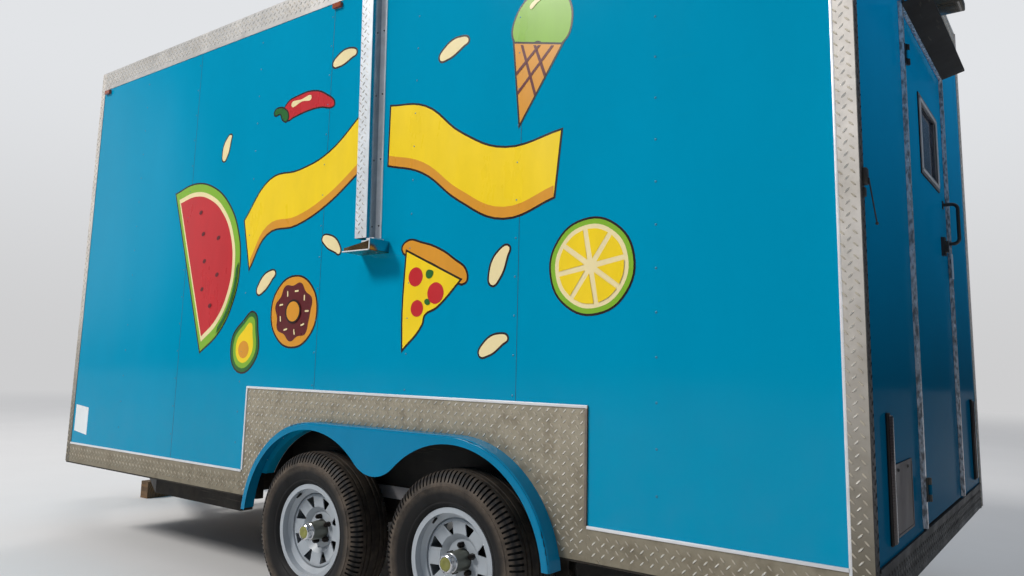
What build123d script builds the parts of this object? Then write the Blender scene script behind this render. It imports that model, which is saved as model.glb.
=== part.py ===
"""Tandem-axle food trailer: a box body on a steel frame, parked on its tongue jack.

Millimetres, +Z up, the ground at Z = 0. While it is drawn, X = 0 is the rear wall's
outer face and +X points backwards, away from the tow vehicle; Y = 0 is the middle of
the body. The street side, with no serving hatch, faces -Y and the kerb side faces +Y.
At the end every piece is shifted so that the origin lies under the middle of the whole.
"""
from build123d import *
from math import atan2, degrees, sqrt
import os

# the gap that sheet, trim and fittings keep from what they are fixed to
SEAT = 0.2

# body
BODY_L = 4877.0
BODY_W = 2438.0
WALL_T = 50.0
FRAME_Z = 443.0
WALL_Z = 565.0
TRIM_Z = 2930.0
WALL_TOP = 3005.0
ROOF_T = 50.0
ROOF_CROWN = 30.0
FLOOR_T = 35.0

# running gear
AXLE_Z = 352.0
AXLE_REAR_X = -1537.0
AXLE_SPACING = 850.0
WHEEL_INSET = 36.0
TYRE_W = 222.0
TREAD_W = 178.0
TYRE_WALL = 14.0
BEAD_W = 24.0
BEAD_R = 191.0
RIM_W = 160.0
RIM_LIP_R = 208.0
RIM_T = 4.0
DISC_T = 5.0
DISC_HOLES = 8
DISC_HOLE_BASE_R = 148.0
DISC_HOLE_POINT_R = 100.0
DISC_HOLE_HALF = 26.0
DISC_HOLE_EASE = 4.0
# the pressed disc's outer face, as radius and outward place, from its middle pad to its rim
DISC_FACE = ((78.0, 5.0), (102.0, 27.0), (150.0, 37.0), (158.0, 35.0))
WELL_DROP = 22.0
WELL_OUT = 34.0
WELL_IN = 22.0
BEAD_OUT = 46.0
BEAD_IN = 36.0
HUB_BORE_R = 22.3
SPINDLE_R = 22.0
HUB_R = 41.0
HUB_CAP_R = 34.5
HUB_REACH = 112.0
HUB_FLANGE_R = 72.0
HUB_BACK = 52.0
HUB_FLANGE_T = 12.0
HUB_STEP = 62.0
HUB_CAP_EASE = 4.0
HUB_FLANGE_STEP = 20.0
HUB_DISC_GAP = 0.3
AXLE_TUBE_R = 30.0

# steel frame
RAIL_W = 60.0
RAIL_INSET = 234.0
SILL_W = 40.0
SILL_DROP = 8.0
CROSS_W = 50.0
CROSS_BAYS = 8
TONGUE_W = 75.0
TONGUE_H = 140.0
TONGUE_BACK_X = -3250.0
TONGUE_BEND_X = -4110.0
BALL_X = -6150.0
BALL_R = 29.6
SOCKET_DEPTH = 33.0
COUPLER_L = 175.0
COUPLER_H = 66.0
COUPLER_WING = 92.0
COUPLER_WALL = 9.0
TONGUE_TIP_BACK = 105.0
TONGUE_TIP_Y = 52.0
FRONT_TIE_GAP = 60.0
TIE_INSET = 20.0
WING_T = 14.0
LATCH_BACK = 95.0
LATCH_R = 9.0
LATCH_RISE = 26.0
LEVER_X = (50.0, 175.0)
LEVER_Z = (18.0, 28.0)
LEVER_HALF_W = 11.0
SPRING_W = 45.0
LEAF_T = 8.0
LEAF_COUNT = 5
LEAF_STEP = 0.17
SPRING_END_GAP = 70.0
SPRING_EYE_R = 14.0
HANGER_T = 8.0
HANGER_GAP = 0.3
HANGER_L = 60.0
HANGER_MIDDLE_L = 200.0
HANGER_BELOW_EYE = 22.0
AXLE_TUBE_BACK = 60.0
SPINDLE_SINK = 5.0
SPINDLE_OUT = 55.0

# jack and its wooden block
JACK_BACK = 477.0
JACK_PLATE_BACK = 110.0
JACK_PLATE_EDGE = 6.0
JACK_OUT_R = 32.0
JACK_IN_R = 26.0
JACK_FLANGE_R = 55.0
PLATE_STEEL_T = 8.0
JACK_LEG_GAP = 0.4
JACK_TUBE_LOW = 330.0
JACK_TUBE_TOP = 900.0
JACK_FOOT_GAP = 0.3
JACK_ROOM = 9.7
JACK_HEAD_ROOM = 60.0
JACK_FLANGE_T = 8.0
JACK_HEAD_H = 40.0
JACK_HEAD_R = 36.0
CRANK_OUT = 78.0
CRANK_R = 7.0
CRANK_DROP = 158.0
GRIP_L = 102.0
GRIP_R = 12.0
JACK_FOOT_X = 115.0
JACK_FOOT_Y = 150.0
JACK_FOOT_T = 8.0
BLOCK_H = 130.0
BLOCK_X = 100.0
BLOCK_Y = 460.0

# wheel arches
FENDER_OUT_R = 486.0
FENDER_IN_R = 453.0
FENDER_DIP_R = 174.0
FENDER_REACH = 76.0
FENDER_T = 3.0
FENDER_FOOT = 45.0
FENDER_EASE = 10.0
WELL_GAP = 6.0
WELL_T = 4.0
WELL_DEPTH = 204.0

# bright trim
SKIN_T = 3.0
LIP_H = 10.0
LIP_T = 7.0
CORNER_REAR_SIDE = 70.0
CORNER_REAR_END = 40.0
CORNER_FRONT_SIDE = 45.0
CORNER_FRONT_END = 45.0
PANEL_FRONT_X = -2985.0
PANEL_REAR_X = -945.0
PANEL_TOP_Z = 983.0
PANEL_LIP = 8.0

# rear door, with the places across the wall counted from the street corner
DOOR_STREET_Y = 776.0
DOOR_W = 943.0
DOOR_TOP = 2548.0
DOOR_T = 40.0
DOOR_GAP = 8.0
HINGE_R = 7.0
HINGE_OUT = 24.5
HINGE_Z = (710.0, 2355.0)
HINGE_PLATE_T = 4.0
HINGE_LINK = 14.0
HINGE_ENDS = 0.7
STRAP_L = 62.0
STRAP_T = 5.0
WEB_Y = (-3.0, 5.0)
KNUCKLE_L = 34.0
KNUCKLE_GAP = 0.6
DOOR_STRIP_W = 18.0
DOOR_STRIP_PROUD = 16.0
DOOR_WIN_Y = 1318.0
DOOR_WIN_Z = 2130.0
DOOR_WIN_W = 420.0
DOOR_WIN_H = 316.0
WIN_FRAME_W = 32.0
WIN_FRAME_PROUD = 6.0
WIN_FRAME_BACK = 3.0
WIN_SLEEVE_T = 6.0
GLASS_T = 5.0
GLASS_SET = 7.0
VISOR_STREET_Y = 740.0
VISOR_END_Y = 1735.0
VISOR_REACH = 98.0
VISOR_RISE = 26.0
VISOR_LIP = 9.0
VISOR_FLANGE = 30.0
VISOR_T = 3.0
LATCH_Y = 1556.0
LATCH_Z = (1662.0, 1746.0)
LATCH_W = 44.0
LATCH_T = 16.0
PADDLE_Z = (1676.0, 1728.0)
PADDLE_W = 28.0
PADDLE_T = 12.0
GRAB_Y = 1640.0
GRAB_Z = (1727.0, 1914.0)
GRAB_REACH = 62.0
GRAB_R = 8.0
GRAB_BEND_R = 24.0
GRAB_FOOT_W = 30.0
GRAB_FOOT_H = 36.0
FOOT_T = 4.0
FOOT_SINK = 2.0
LAMP_Y = 230.0
LAMP_Z = (600.0, 1000.0)
LAMP_W = 48.0
LAMP_T = 22.0
LAMP_EASE = 6.0
PLATE_Y = (305.0, 615.0)
PLATE_Z = (600.0, 845.0)
PLATE_T = 3.0
PLATE_X = 22.0
PLATE_FOOT_W = 22.0
PLATE_FOOT_INSET = 30.0
PLATE_FOOT_TOP = 60.0
PLATE_PITCH = 178.0
PLATE_HOLE_R = 3.5
PLATE_HOLE_DROP = 22.0
HOLD_Y = 36.0
HOLD_Z = 1698.0
HOLD_PLATE_W = 44.0
HOLD_PLATE_H = 84.0
HOLD_POST_R = 6.0
HOLD_REACH = 42.0
HOLD_HOOK_R = 4.0
HOLD_HOOK_DROP = 132.0
HOLD_HOOK_SIDE = 12.0

# serving hatch on the kerb side
HATCH_X = (-3350.0, -1520.0)
HATCH_Z = (1560.0, 2500.0)
HATCH_T = 30.0
HATCH_GAP = 8.0
HATCH_HINGE_OUT = 10.0
HATCH_KNUCKLES = 9
HATCH_KNUCKLE_R = 6.0
HATCH_PLATE_T = 3.0
HATCH_PLATE_H = 40.0
HATCH_WEB_T = 8.0
HATCH_WEB_DROP = 24.0
HATCH_WEB_H = 12.0
HATCH_EAR_Z = (1.0, 5.0)
SERVE_FRAME_W = 45.0
SERVE_FRAME_T = 14.0
SERVE_PANE_SHARE = 0.27
MULLION_W = 24.0
SHELF_H = 300.0
SHELF_T = 25.0
SHELF_DROP = 30.0
SHELF_OUT = 20.0
SHELF_TOP_GAP = 14.0
SHELF_HINGE_SHARES = (0.08, 0.36, 0.64, 0.92)
SHELF_KNUCKLE_L = 40.0
SHELF_KNUCKLE_R = 8.0
SHELF_WEB_T = 10.0
EAR_L = 12.0
EAR_PLATE_H = 40.0

# street wall fittings, with places along the wall measured from the rear
CHANNEL_X = -2127.0
CHANNEL_FACE = 76.0
CHANNEL_DEPTH = 58.0
CHANNEL_FLANGE = 38.0
CHANNEL_Z = 1680.0
CHANNEL_LEAN = 33.0
CHANNEL_T = 3.0
BRACKET_Z = (1602.0, 1662.0)
BRACKET_REACH = 120.0
BRACKET_BASE = 150.0
BRACKET_T = 6.0
BRACKET_FOOT_BELOW = 30.0
BRACKET_FOOT_ABOVE = 10.0
BRACKET_WEB_T = 10.0
BRACKET_WEB_SHARE = 0.7
BRACKET_HOLE_R = 6.5
BRACKET_PITCH = 90.0
BRACKET_HOLE_SHARE = 0.6

# small lamps and the lamp over the hood
MARKER_L = 60.0
MARKER_H = 24.0
MARKER_T = 16.0
MARKER_DROP = 22.0
MARKER_FRONT_INSET = 95.0
MARKER_REAR_INSET = 130.0
MARKER_PITCH = 150.0
MARKER_DOOR_DROP = 60.0
FLOOD_ABOVE = 142.0
FLOOD_H = 70.0
FLOOD_Y = (20.0, 160.0)
FLOOD_X = (80.0, 170.0)
FLOOD_ARM_W = 40.0

# worked out from the sizes above
HALF_W = BODY_W / 2
INNER_W = HALF_W - WALL_T
AXLE_FRONT_X = AXLE_REAR_X - AXLE_SPACING
AXLES = (("front", AXLE_FRONT_X), ("rear", AXLE_REAR_X))
SIDES = (("street", -1), ("kerb", 1))
WHEEL_Y = HALF_W - WHEEL_INSET
RAIL_Y = HALF_W - RAIL_INSET
FLOOR_TOP = WALL_Z + FLOOR_T
TONGUE_Z = FRAME_Z - TONGUE_H
TONGUE_TIP_X = BALL_X + TONGUE_TIP_BACK
JACK_X = BALL_X + JACK_BACK
JACK_LIFT = TONGUE_Z - BLOCK_H - JACK_FOOT_GAP - JACK_FOOT_T - JACK_ROOM
ROOF_TOP = WALL_TOP + ROOF_T
WELL_X = (AXLE_FRONT_X - FENDER_IN_R - WELL_GAP, AXLE_REAR_X + FENDER_IN_R + WELL_GAP)
WELL_TOP = AXLE_Z + FENDER_IN_R + WELL_GAP
WELL_INNER_Y = HALF_W - WELL_DEPTH
BEAD_BACK_R = BEAD_R - WELL_DROP
DOOR_Z = WALL_Z + DOOR_GAP
DOOR_HINGE_Y = DOOR_STREET_Y - HALF_W
DOOR_FREE_Y = DOOR_HINGE_Y + DOOR_W
VISOR_X = DOOR_STRIP_PROUD + SEAT
VISOR_Z = DOOR_TOP + DOOR_GAP + 2 * SEAT


def block(x, y, z):
    """A box from its low and high X, Y and Z."""
    low, high = zip(sorted(x), sorted(y), sorted(z))
    middle = [(a + b) / 2 for a, b in zip(low, high)]
    return Pos(*middle) * Box(*[b - a for a, b in zip(low, high)])


def rod(start, end, radius):
    """A round bar between two points."""
    a, b = Vector(*start), Vector(*end)
    plane = Plane(origin=(a + b) / 2, z_dir=(b - a).normalized())
    return plane * Cylinder(radius, (b - a).length)


def flip(shape):
    """The same piece on the other side of the body."""
    return mirror(shape, about=Plane.XZ)


def both_sides(shape):
    return Compound(children=[shape, flip(shape)])


def group(pieces):
    return Compound(children=list(pieces))


def fused(pieces):
    """One solid from pieces that share faces or overlap."""
    pieces = list(pieces)
    return pieces[0].fuse(*pieces[1:]).clean()


def side_prism(face, y_from, y_to):
    """A face drawn in X and Z, drawn out from y_from to y_to."""
    placed = Plane.XZ.offset(-min(y_from, y_to)) * face
    return extrude(placed, amount=abs(y_to - y_from), dir=(0, 1, 0))


def tandem_arch(radius):
    """The outline over both wheels: two quarter rounds joined by a level top."""
    front, rear = (AXLE_FRONT_X, AXLE_Z), (AXLE_REAR_X, AXLE_Z)
    edges = [
        CenterArc(front, radius, 90, 90),
        Line((front[0], AXLE_Z + radius), (rear[0], AXLE_Z + radius)),
        CenterArc(rear, radius, 0, 90),
        Line((rear[0] + radius, AXLE_Z), (front[0] - radius, AXLE_Z)),
    ]
    return make_face(edges)


def fender_opening():
    """The opening in the fender's face: an arch over each wheel and a rounded dip between."""
    half = AXLE_SPACING / 2
    rise = sqrt((FENDER_IN_R + FENDER_DIP_R) ** 2 - half ** 2)
    tangent = degrees(atan2(rise, half))
    front, rear = (AXLE_FRONT_X, AXLE_Z), (AXLE_REAR_X, AXLE_Z)
    dip = (AXLE_FRONT_X + half, AXLE_Z + rise)
    edges = [
        CenterArc(front, FENDER_IN_R, tangent, 180 - tangent),
        CenterArc(dip, FENDER_DIP_R, 180 + tangent, 180 - 2 * tangent),
        CenterArc(rear, FENDER_IN_R, 0, 180 - tangent),
        Line((rear[0] + FENDER_IN_R, AXLE_Z), (front[0] - FENDER_IN_R, AXLE_Z)),
    ]
    return make_face(edges)


def main_rails():
    rail = block((-BODY_L + SILL_W, -SILL_W), (RAIL_Y - RAIL_W / 2, RAIL_Y + RAIL_W / 2),
                 (FRAME_Z, WALL_Z))
    return both_sides(rail)


def side_sills():
    """The wall sills, broken where the wheels are."""
    spans = ((-BODY_L, WELL_X[0] - WELL_T), (WELL_X[1] + WELL_T, 0.0))
    low = FRAME_Z - SILL_DROP
    sills = [block(span, (HALF_W - SILL_W, HALF_W), (low, WALL_Z)) for span in spans]
    return group(sills + [flip(sill) for sill in sills])


def cross_x():
    """The middles of the floor's cross members, in even bays."""
    bay = (BODY_L - SILL_W) / CROSS_BAYS
    return [-SILL_W / 2 - bay * i for i in range(CROSS_BAYS + 1)]


def cross_members():
    """End beams across the whole width, and members in three lengths between them."""
    stations = cross_x()
    members = []
    for x in (stations[0], stations[-1]):
        span = (x - SILL_W / 2, x + SILL_W / 2)
        members.append(block(span, (SILL_W - HALF_W, HALF_W - SILL_W), (FRAME_Z, WALL_Z)))
    outer = (RAIL_Y + RAIL_W / 2, HALF_W - SILL_W)
    for x in stations[1:-1]:
        span = (x - CROSS_W / 2, x + CROSS_W / 2)
        inner = (RAIL_W / 2 - RAIL_Y, RAIL_Y - RAIL_W / 2)
        members.append(block(span, inner, (FRAME_Z, WALL_Z)))
        if x + CROSS_W < WELL_X[0] or x - CROSS_W > WELL_X[1]:
            stub = block(span, outer, (FRAME_Z, WALL_Z))
            members += [stub, flip(stub)]
    return group(members)


def tongue_rail():
    """A rail that runs under the main rail and then bends in towards the coupler."""
    bend = (TONGUE_BEND_X, RAIL_Y)
    path = Polyline((TONGUE_BACK_X, RAIL_Y), bend, (TONGUE_TIP_X, TONGUE_TIP_Y))
    flat = trace(path, TONGUE_W)
    return extrude(Pos(0, 0, TONGUE_Z) * flat, amount=TONGUE_H)


def tongue_frame():
    """Both tongue rails, the tie between them, the front tie and the jack's plate."""
    rail = tongue_rail()
    slope = (RAIL_Y - TONGUE_TIP_Y) / (TONGUE_BEND_X - TONGUE_TIP_X)

    def half_gap(x):
        return RAIL_Y - (TONGUE_BEND_X - x) * slope

    tie_x = -BODY_L - FRONT_TIE_GAP
    tie = block((tie_x - CROSS_W, tie_x), (-half_gap(tie_x), half_gap(tie_x)),
                (TONGUE_Z + TIE_INSET, FRAME_Z - TIE_INSET))
    back, front = JACK_X + JACK_PLATE_BACK, JACK_X - JACK_FLANGE_R - JACK_PLATE_EDGE
    half_back, half_front = half_gap(back), half_gap(front)
    plate = extrude(Pos(0, 0, FRAME_Z - PLATE_STEEL_T) * make_face(Polyline(
        (back, -half_back), (back, half_back), (front, half_front), (front, -half_front),
        close=True)), amount=PLATE_STEEL_T)
    bore = rod((JACK_X, 0, TONGUE_Z), (JACK_X, 0, FRAME_Z + PLATE_STEEL_T), JACK_OUT_R + 1)
    return fused([rail, flip(rail), tie, plate]) - bore


def coupler():
    """A ball coupler: a cast socket with two wings that lie along the tongue rails."""
    nose_r = BALL_R + COUPLER_WALL
    base = FRAME_Z + SEAT
    top = base + COUPLER_H
    nose = Pos(BALL_X, 0, (base + top) / 2) * Cylinder(nose_r, top - base)
    back_x = BALL_X + COUPLER_L
    neck = block((BALL_X, back_x), (-nose_r, nose_r), (base, top))
    wings = extrude(Pos(0, 0, base) * make_face(Polyline(
        (BALL_X + COUPLER_L / 2, -nose_r), (back_x, -COUPLER_WING), (back_x, COUPLER_WING),
        (BALL_X + COUPLER_L / 2, nose_r), close=True)), amount=WING_T)
    socket = rod((BALL_X, 0, base - 1), (BALL_X, 0, base + SOCKET_DEPTH), BALL_R)
    dome = Pos(BALL_X, 0, base + SOCKET_DEPTH) * Sphere(BALL_R - 3)
    latch_x = BALL_X + LATCH_BACK
    latch = rod((latch_x, 0, top - WING_T), (latch_x, 0, top + LATCH_RISE), LATCH_R)
    lever = block([BALL_X + x for x in LEVER_X], (-LEVER_HALF_W, LEVER_HALF_W),
                  [top + z for z in LEVER_Z])
    return fused([nose, neck, wings, latch, lever]) - socket - dome


def jack_tube():
    """The jack's outer tube with its flange, head and crank."""
    tube = Pos(JACK_X, 0, (JACK_TUBE_LOW + JACK_TUBE_TOP) / 2) * (
        Cylinder(JACK_OUT_R, JACK_TUBE_TOP - JACK_TUBE_LOW)
        - Cylinder(JACK_IN_R, JACK_TUBE_TOP - JACK_TUBE_LOW))
    flange_z = FRAME_Z + SEAT
    ring = Cylinder(JACK_FLANGE_R, JACK_FLANGE_T) - Cylinder(JACK_IN_R, JACK_FLANGE_T)
    flange = Pos(JACK_X, 0, flange_z + JACK_FLANGE_T / 2) * ring
    crank_z = JACK_TUBE_TOP + JACK_HEAD_H / 2
    head = Pos(JACK_X, 0, crank_z) * Cylinder(JACK_HEAD_R, JACK_HEAD_H)
    shaft = rod((JACK_X, 0, crank_z), (JACK_X, -CRANK_OUT - CRANK_R, crank_z), CRANK_R)
    grip_z = crank_z - CRANK_DROP
    arm = rod((JACK_X, -CRANK_OUT, crank_z + CRANK_R), (JACK_X, -CRANK_OUT, grip_z - CRANK_R),
              CRANK_R)
    grip_y = CRANK_R - CRANK_OUT
    grip = rod((JACK_X, grip_y, grip_z), (JACK_X, grip_y - GRIP_L, grip_z), GRIP_R)
    return fused([tube, flange, head, shaft, arm, grip])


def jack_leg():
    """The inner leg and its foot plate, standing on the block."""
    foot_z = BLOCK_H + JACK_FOOT_GAP
    foot = Pos(JACK_X, 0, foot_z + JACK_FOOT_T / 2) * Box(JACK_FOOT_X, JACK_FOOT_Y, JACK_FOOT_T)
    top = JACK_TUBE_TOP - JACK_LIFT - JACK_HEAD_ROOM
    leg = rod((JACK_X, 0, foot_z + JACK_FOOT_T / 2), (JACK_X, 0, top), JACK_IN_R - JACK_LEG_GAP)
    return fused([foot, leg])


def jack_block():
    """The timber that lies across the ground under the jack's foot."""
    return block((JACK_X - BLOCK_X / 2, JACK_X + BLOCK_X / 2), (-BLOCK_Y / 2, BLOCK_Y / 2),
                 (0, BLOCK_H))


def wheel_well_box(grow):
    """The space over one side's wheels, or with grow the outside of its sheet box."""
    return block((WELL_X[0] - grow, WELL_X[1] + grow), (WELL_INNER_Y - grow, INNER_W - SEAT),
                 (WALL_Z + SEAT, WELL_TOP + grow))


def wheel_wells():
    below = Pos(0, 0, -1) * wheel_well_box(0)
    beside = Pos(0, 1, 0) * wheel_well_box(0)
    shell = wheel_well_box(WELL_T) - wheel_well_box(0) - below - beside
    return both_sides(shell)


def floor_deck():
    deck = block((-BODY_L + WALL_T + SEAT, -WALL_T - SEAT), (SEAT - INNER_W, INNER_W - SEAT),
                 (WALL_Z, FLOOR_TOP))
    well = wheel_well_box(WELL_T + SEAT)
    for side_cut in (well, Pos(0, 0, -1) * well, Pos(0, 1, 0) * well):
        deck = deck - side_cut - flip(side_cut)
    return deck


def side_wall():
    """A whole side wall on the kerb side, with its wheel arch cut out."""
    wall = block((-BODY_L, 0), (INNER_W, HALF_W), (WALL_Z, WALL_TOP))
    arch = side_prism(tandem_arch(FENDER_IN_R), INNER_W - 1, HALF_W + 1)
    return wall - arch


def hatch_opening():
    return block(HATCH_X, (INNER_W - 1, HALF_W + 1), HATCH_Z)


def end_wall(x_outer, x_inner):
    return block((x_outer, x_inner), (-INNER_W, INNER_W), (WALL_Z, WALL_TOP))


def door_space(gap, x_from, x_to):
    """The door's rectangle in the rear wall, larger by gap all round."""
    return block((x_from, x_to), (DOOR_HINGE_Y - gap, DOOR_FREE_Y + gap),
                 (DOOR_Z - gap, DOOR_TOP + gap))


def wall_rear():
    wall = end_wall(-WALL_T, 0)
    return wall - door_space(DOOR_GAP, -WALL_T - 1, 1)


def roof():
    """A roof skin with a low crown from side to side."""
    edge = WALL_TOP
    crown_top = ROOF_TOP + ROOF_CROWN
    outline = [
        Line((-HALF_W, edge), (HALF_W, edge)),
        Line((HALF_W, edge), (HALF_W, ROOF_TOP)),
        ThreePointArc((HALF_W, ROOF_TOP), (0, crown_top), (-HALF_W, ROOF_TOP)),
        Line((-HALF_W, ROOF_TOP), (-HALF_W, edge)),
    ]
    section = Plane.YZ * make_face(outline)
    return Pos(-BODY_L, 0, 0) * extrude(section, amount=BODY_L, dir=(1, 0, 0))


def body_ring(z_low, z_high, thickness):
    """A band of sheet round the outside of the body."""
    t, s = thickness, SEAT
    outer = block((-BODY_L - t, t), (-HALF_W - t, HALF_W + t), (z_low, z_high))
    inner = block((-BODY_L - s, s), (-HALF_W - s, HALF_W + s), (z_low - 1, z_high + 1))
    return outer - inner


def corner_trim(x_corner, side_w, end_w):
    """An angle over one kerb-side corner, running along the wall by side_w and end_w."""
    outward = 1 if x_corner == 0 else -1
    x_out = x_corner + outward * SKIN_T
    x_in = x_corner + outward * SEAT
    side = block((x_out, x_corner - outward * side_w), (HALF_W + SEAT, HALF_W + SKIN_T),
                 (FRAME_Z, ROOF_TOP))
    end = block((x_out, x_in), (HALF_W - end_w, HALF_W + SKIN_T), (FRAME_Z, ROOF_TOP))
    return fused([side, end])


def corner_trims():
    rear = corner_trim(0, CORNER_REAR_SIDE, CORNER_REAR_END)
    front = corner_trim(-BODY_L, CORNER_FRONT_SIDE, CORNER_FRONT_END)
    return group([rear, flip(rear), front, flip(front)])


def corner_space(grow):
    """Where the corner trims lie, for cutting the bands that meet them."""
    height = (0, ROOF_TOP + 100)
    rear = block((1 + grow, -CORNER_REAR_SIDE - SEAT),
                 (HALF_W - CORNER_REAR_END - SEAT, HALF_W + grow), height)
    front = block((-BODY_L - grow, -BODY_L + CORNER_FRONT_SIDE + SEAT),
                  (HALF_W - CORNER_FRONT_END - SEAT, HALF_W + grow), height)
    return [rear, flip(rear), front, flip(front)]


def skirt_trim():
    """The bright band round the frame with a folded top lip, cut at wheels and corners."""
    ring = body_ring(FRAME_Z, WALL_Z, SKIN_T)
    lip = body_ring(WALL_Z - LIP_H, WALL_Z, LIP_T)
    band = fused([ring, lip])
    for space in corner_space(LIP_T + 1):
        band -= space
    wheels = block((PANEL_FRONT_X - SEAT, PANEL_REAR_X + SEAT), (-BODY_W, BODY_W), (0, WALL_Z + 1))
    return band - wheels


def roof_trim():
    band = body_ring(TRIM_Z, ROOF_TOP, SKIN_T)
    for space in corner_space(SKIN_T + 1):
        band -= space
    return band


def wheel_panel():
    """The bright panel round the wheels with folded edges, cut by the fender's outline."""
    wall_y = HALF_W + SEAT
    sheet = block((PANEL_FRONT_X, PANEL_REAR_X), (wall_y, HALF_W + SKIN_T),
                  (FRAME_Z, PANEL_TOP_Z))
    top = block((PANEL_FRONT_X, PANEL_REAR_X), (wall_y, HALF_W + LIP_T),
                (PANEL_TOP_Z - PANEL_LIP, PANEL_TOP_Z))
    edges = [block((x, x + PANEL_LIP), (wall_y, HALF_W + LIP_T), (WALL_Z, PANEL_TOP_Z))
             for x in (PANEL_FRONT_X, PANEL_REAR_X - PANEL_LIP)]
    panel = fused([sheet, top] + edges)
    cut_r = FENDER_OUT_R + SEAT
    across = (HALF_W - 1, HALF_W + LIP_T + 1)
    cut = side_prism(tandem_arch(cut_r), *across)
    below = block((AXLE_FRONT_X - cut_r, AXLE_REAR_X + cut_r), across, (0, AXLE_Z + 1))
    return panel - cut - below


def wheel_panels():
    return both_sides(wheel_panel())


def fender():
    """A pressed fender: a face with both wheel openings and a dip, and a strip to the wall."""
    outer = side_prism(tandem_arch(FENDER_OUT_R), HALF_W + SEAT, HALF_W + FENDER_REACH)
    edge_y = HALF_W + FENDER_REACH
    rim = [e for e in outer.edges()
           if abs(e.center().Y - edge_y) < 0.1 and e.center().Z > AXLE_Z + 1]
    outer = fillet(rim, FENDER_EASE)
    hollow = side_prism(tandem_arch(FENDER_OUT_R - FENDER_T), HALF_W - 1, edge_y - FENDER_T)
    opening = side_prism(fender_opening(), HALF_W - 1, edge_y + 1)
    reach = FENDER_OUT_R + 1
    below = block((AXLE_FRONT_X - reach, AXLE_REAR_X + reach), (HALF_W - 1, edge_y + 1),
                  (0, AXLE_Z + FENDER_FOOT))
    return outer - hollow - opening - below


def fenders():
    return both_sides(fender())


def axles():
    """A round tube under each spring pair, with a spindle at each end."""
    pieces = []
    for _, x in AXLES:
        tube_end = WHEEL_Y - AXLE_TUBE_BACK
        tube = rod((x, -tube_end, AXLE_Z), (x, tube_end, AXLE_Z), AXLE_TUBE_R)
        near, far = tube_end - SPINDLE_SINK, WHEEL_Y + SPINDLE_OUT
        spindles = [rod((x, side * near, AXLE_Z), (x, side * far, AXLE_Z), SPINDLE_R)
                    for _, side in SIDES]
        pieces.append(fused([tube] + spindles))
    return group(pieces)


def leaf_spring(x_middle):
    """A pack of leaves under the axle, each shorter than the one above."""
    reach = AXLE_SPACING / 2 - SPRING_END_GAP
    top = AXLE_Z - AXLE_TUBE_R
    leaves = []
    for i in range(LEAF_COUNT):
        share = 1 - LEAF_STEP * i
        z = top - LEAF_T * (i + 1)
        leaves.append(block((x_middle - reach * share, x_middle + reach * share),
                            (RAIL_Y - SPRING_W / 2, RAIL_Y + SPRING_W / 2), (z, z + LEAF_T)))
    eye_z = top - LEAF_T / 2
    eyes = [rod((x_middle + s * reach, RAIL_Y - SPRING_W / 2, eye_z),
                (x_middle + s * reach, RAIL_Y + SPRING_W / 2, eye_z), SPRING_EYE_R)
            for s in (-1, 1)]
    return fused(leaves + eyes)


def leaf_springs():
    packs = [leaf_spring(x) for _, x in AXLES]
    return group(packs + [flip(pack) for pack in packs])


def hanger(x_middle, width):
    """Two plates down from the main rail that hold a spring's eye or the equaliser."""
    eye_z = AXLE_Z - AXLE_TUBE_R - LEAF_T / 2
    inner = SPRING_W / 2 + HANGER_GAP
    plates = []
    for s in (-1, 1):
        y = RAIL_Y + s * (inner + HANGER_T / 2)
        plates.append(block((x_middle - width / 2, x_middle + width / 2),
                            (y - HANGER_T / 2, y + HANGER_T / 2),
                            (eye_z - HANGER_BELOW_EYE, FRAME_Z)))
    bridge = block((x_middle - width / 2, x_middle + width / 2),
                   (RAIL_Y - inner - HANGER_T, RAIL_Y + inner + HANGER_T),
                   (FRAME_Z - HANGER_T, FRAME_Z))
    return fused(plates + [bridge])


def spring_hangers():
    """A front, a shared middle and a rear hanger on each side."""
    reach = AXLE_SPACING / 2 - SPRING_END_GAP
    middle = (AXLE_FRONT_X + AXLE_REAR_X) / 2
    places = ((AXLE_FRONT_X - reach, HANGER_L), (middle, HANGER_MIDDLE_L),
              (AXLE_REAR_X + reach, HANGER_L))
    hangers = [hanger(x, width) for x, width in places]
    return group(hangers + [flip(piece) for piece in hangers])


def about_wheel_axis(points, close=True):
    """A ring from points of radius and outward place, turned round the wheel's axis."""
    outline = make_face(Polyline(*points, close=close))
    return revolve(outline, axis=Axis.Y)


def tyre():
    """A hollow tyre about the origin, its axis along Y."""
    half, tread = TYRE_W / 2, TREAD_W / 2
    bead_r, bead = BEAD_R + SEAT, RIM_W / 2 - RIM_T - SEAT
    lip_r = RIM_LIP_R + 2
    bulge_r = (lip_r + AXLE_Z) / 2
    shoulder = AXLE_Z - TYRE_WALL
    cut = tread - TYRE_WALL
    liner = shoulder - TYRE_WALL
    outline = [
        Line((bead_r, bead - BEAD_W), (bead_r, bead)),
        Line((bead_r, bead), (lip_r, bead)),
        ThreePointArc((lip_r, bead), (bulge_r, half), (shoulder, tread)),
        Line((shoulder, tread), (AXLE_Z, cut)),
        Line((AXLE_Z, cut), (AXLE_Z, -cut)),
        Line((AXLE_Z, -cut), (shoulder, -tread)),
        ThreePointArc((shoulder, -tread), (bulge_r, -half), (lip_r, -bead)),
        Line((lip_r, -bead), (bead_r, -bead)),
        Line((bead_r, -bead), (bead_r, BEAD_W - bead)),
        ThreePointArc((bead_r, BEAD_W - bead), (bulge_r, TYRE_WALL - half), (liner, -cut)),
        Line((liner, -cut), (liner, cut)),
        ThreePointArc((liner, cut), (bulge_r, half - TYRE_WALL), (bead_r, bead - BEAD_W)),
    ]
    return revolve(make_face(outline), axis=Axis.Y)


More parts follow.
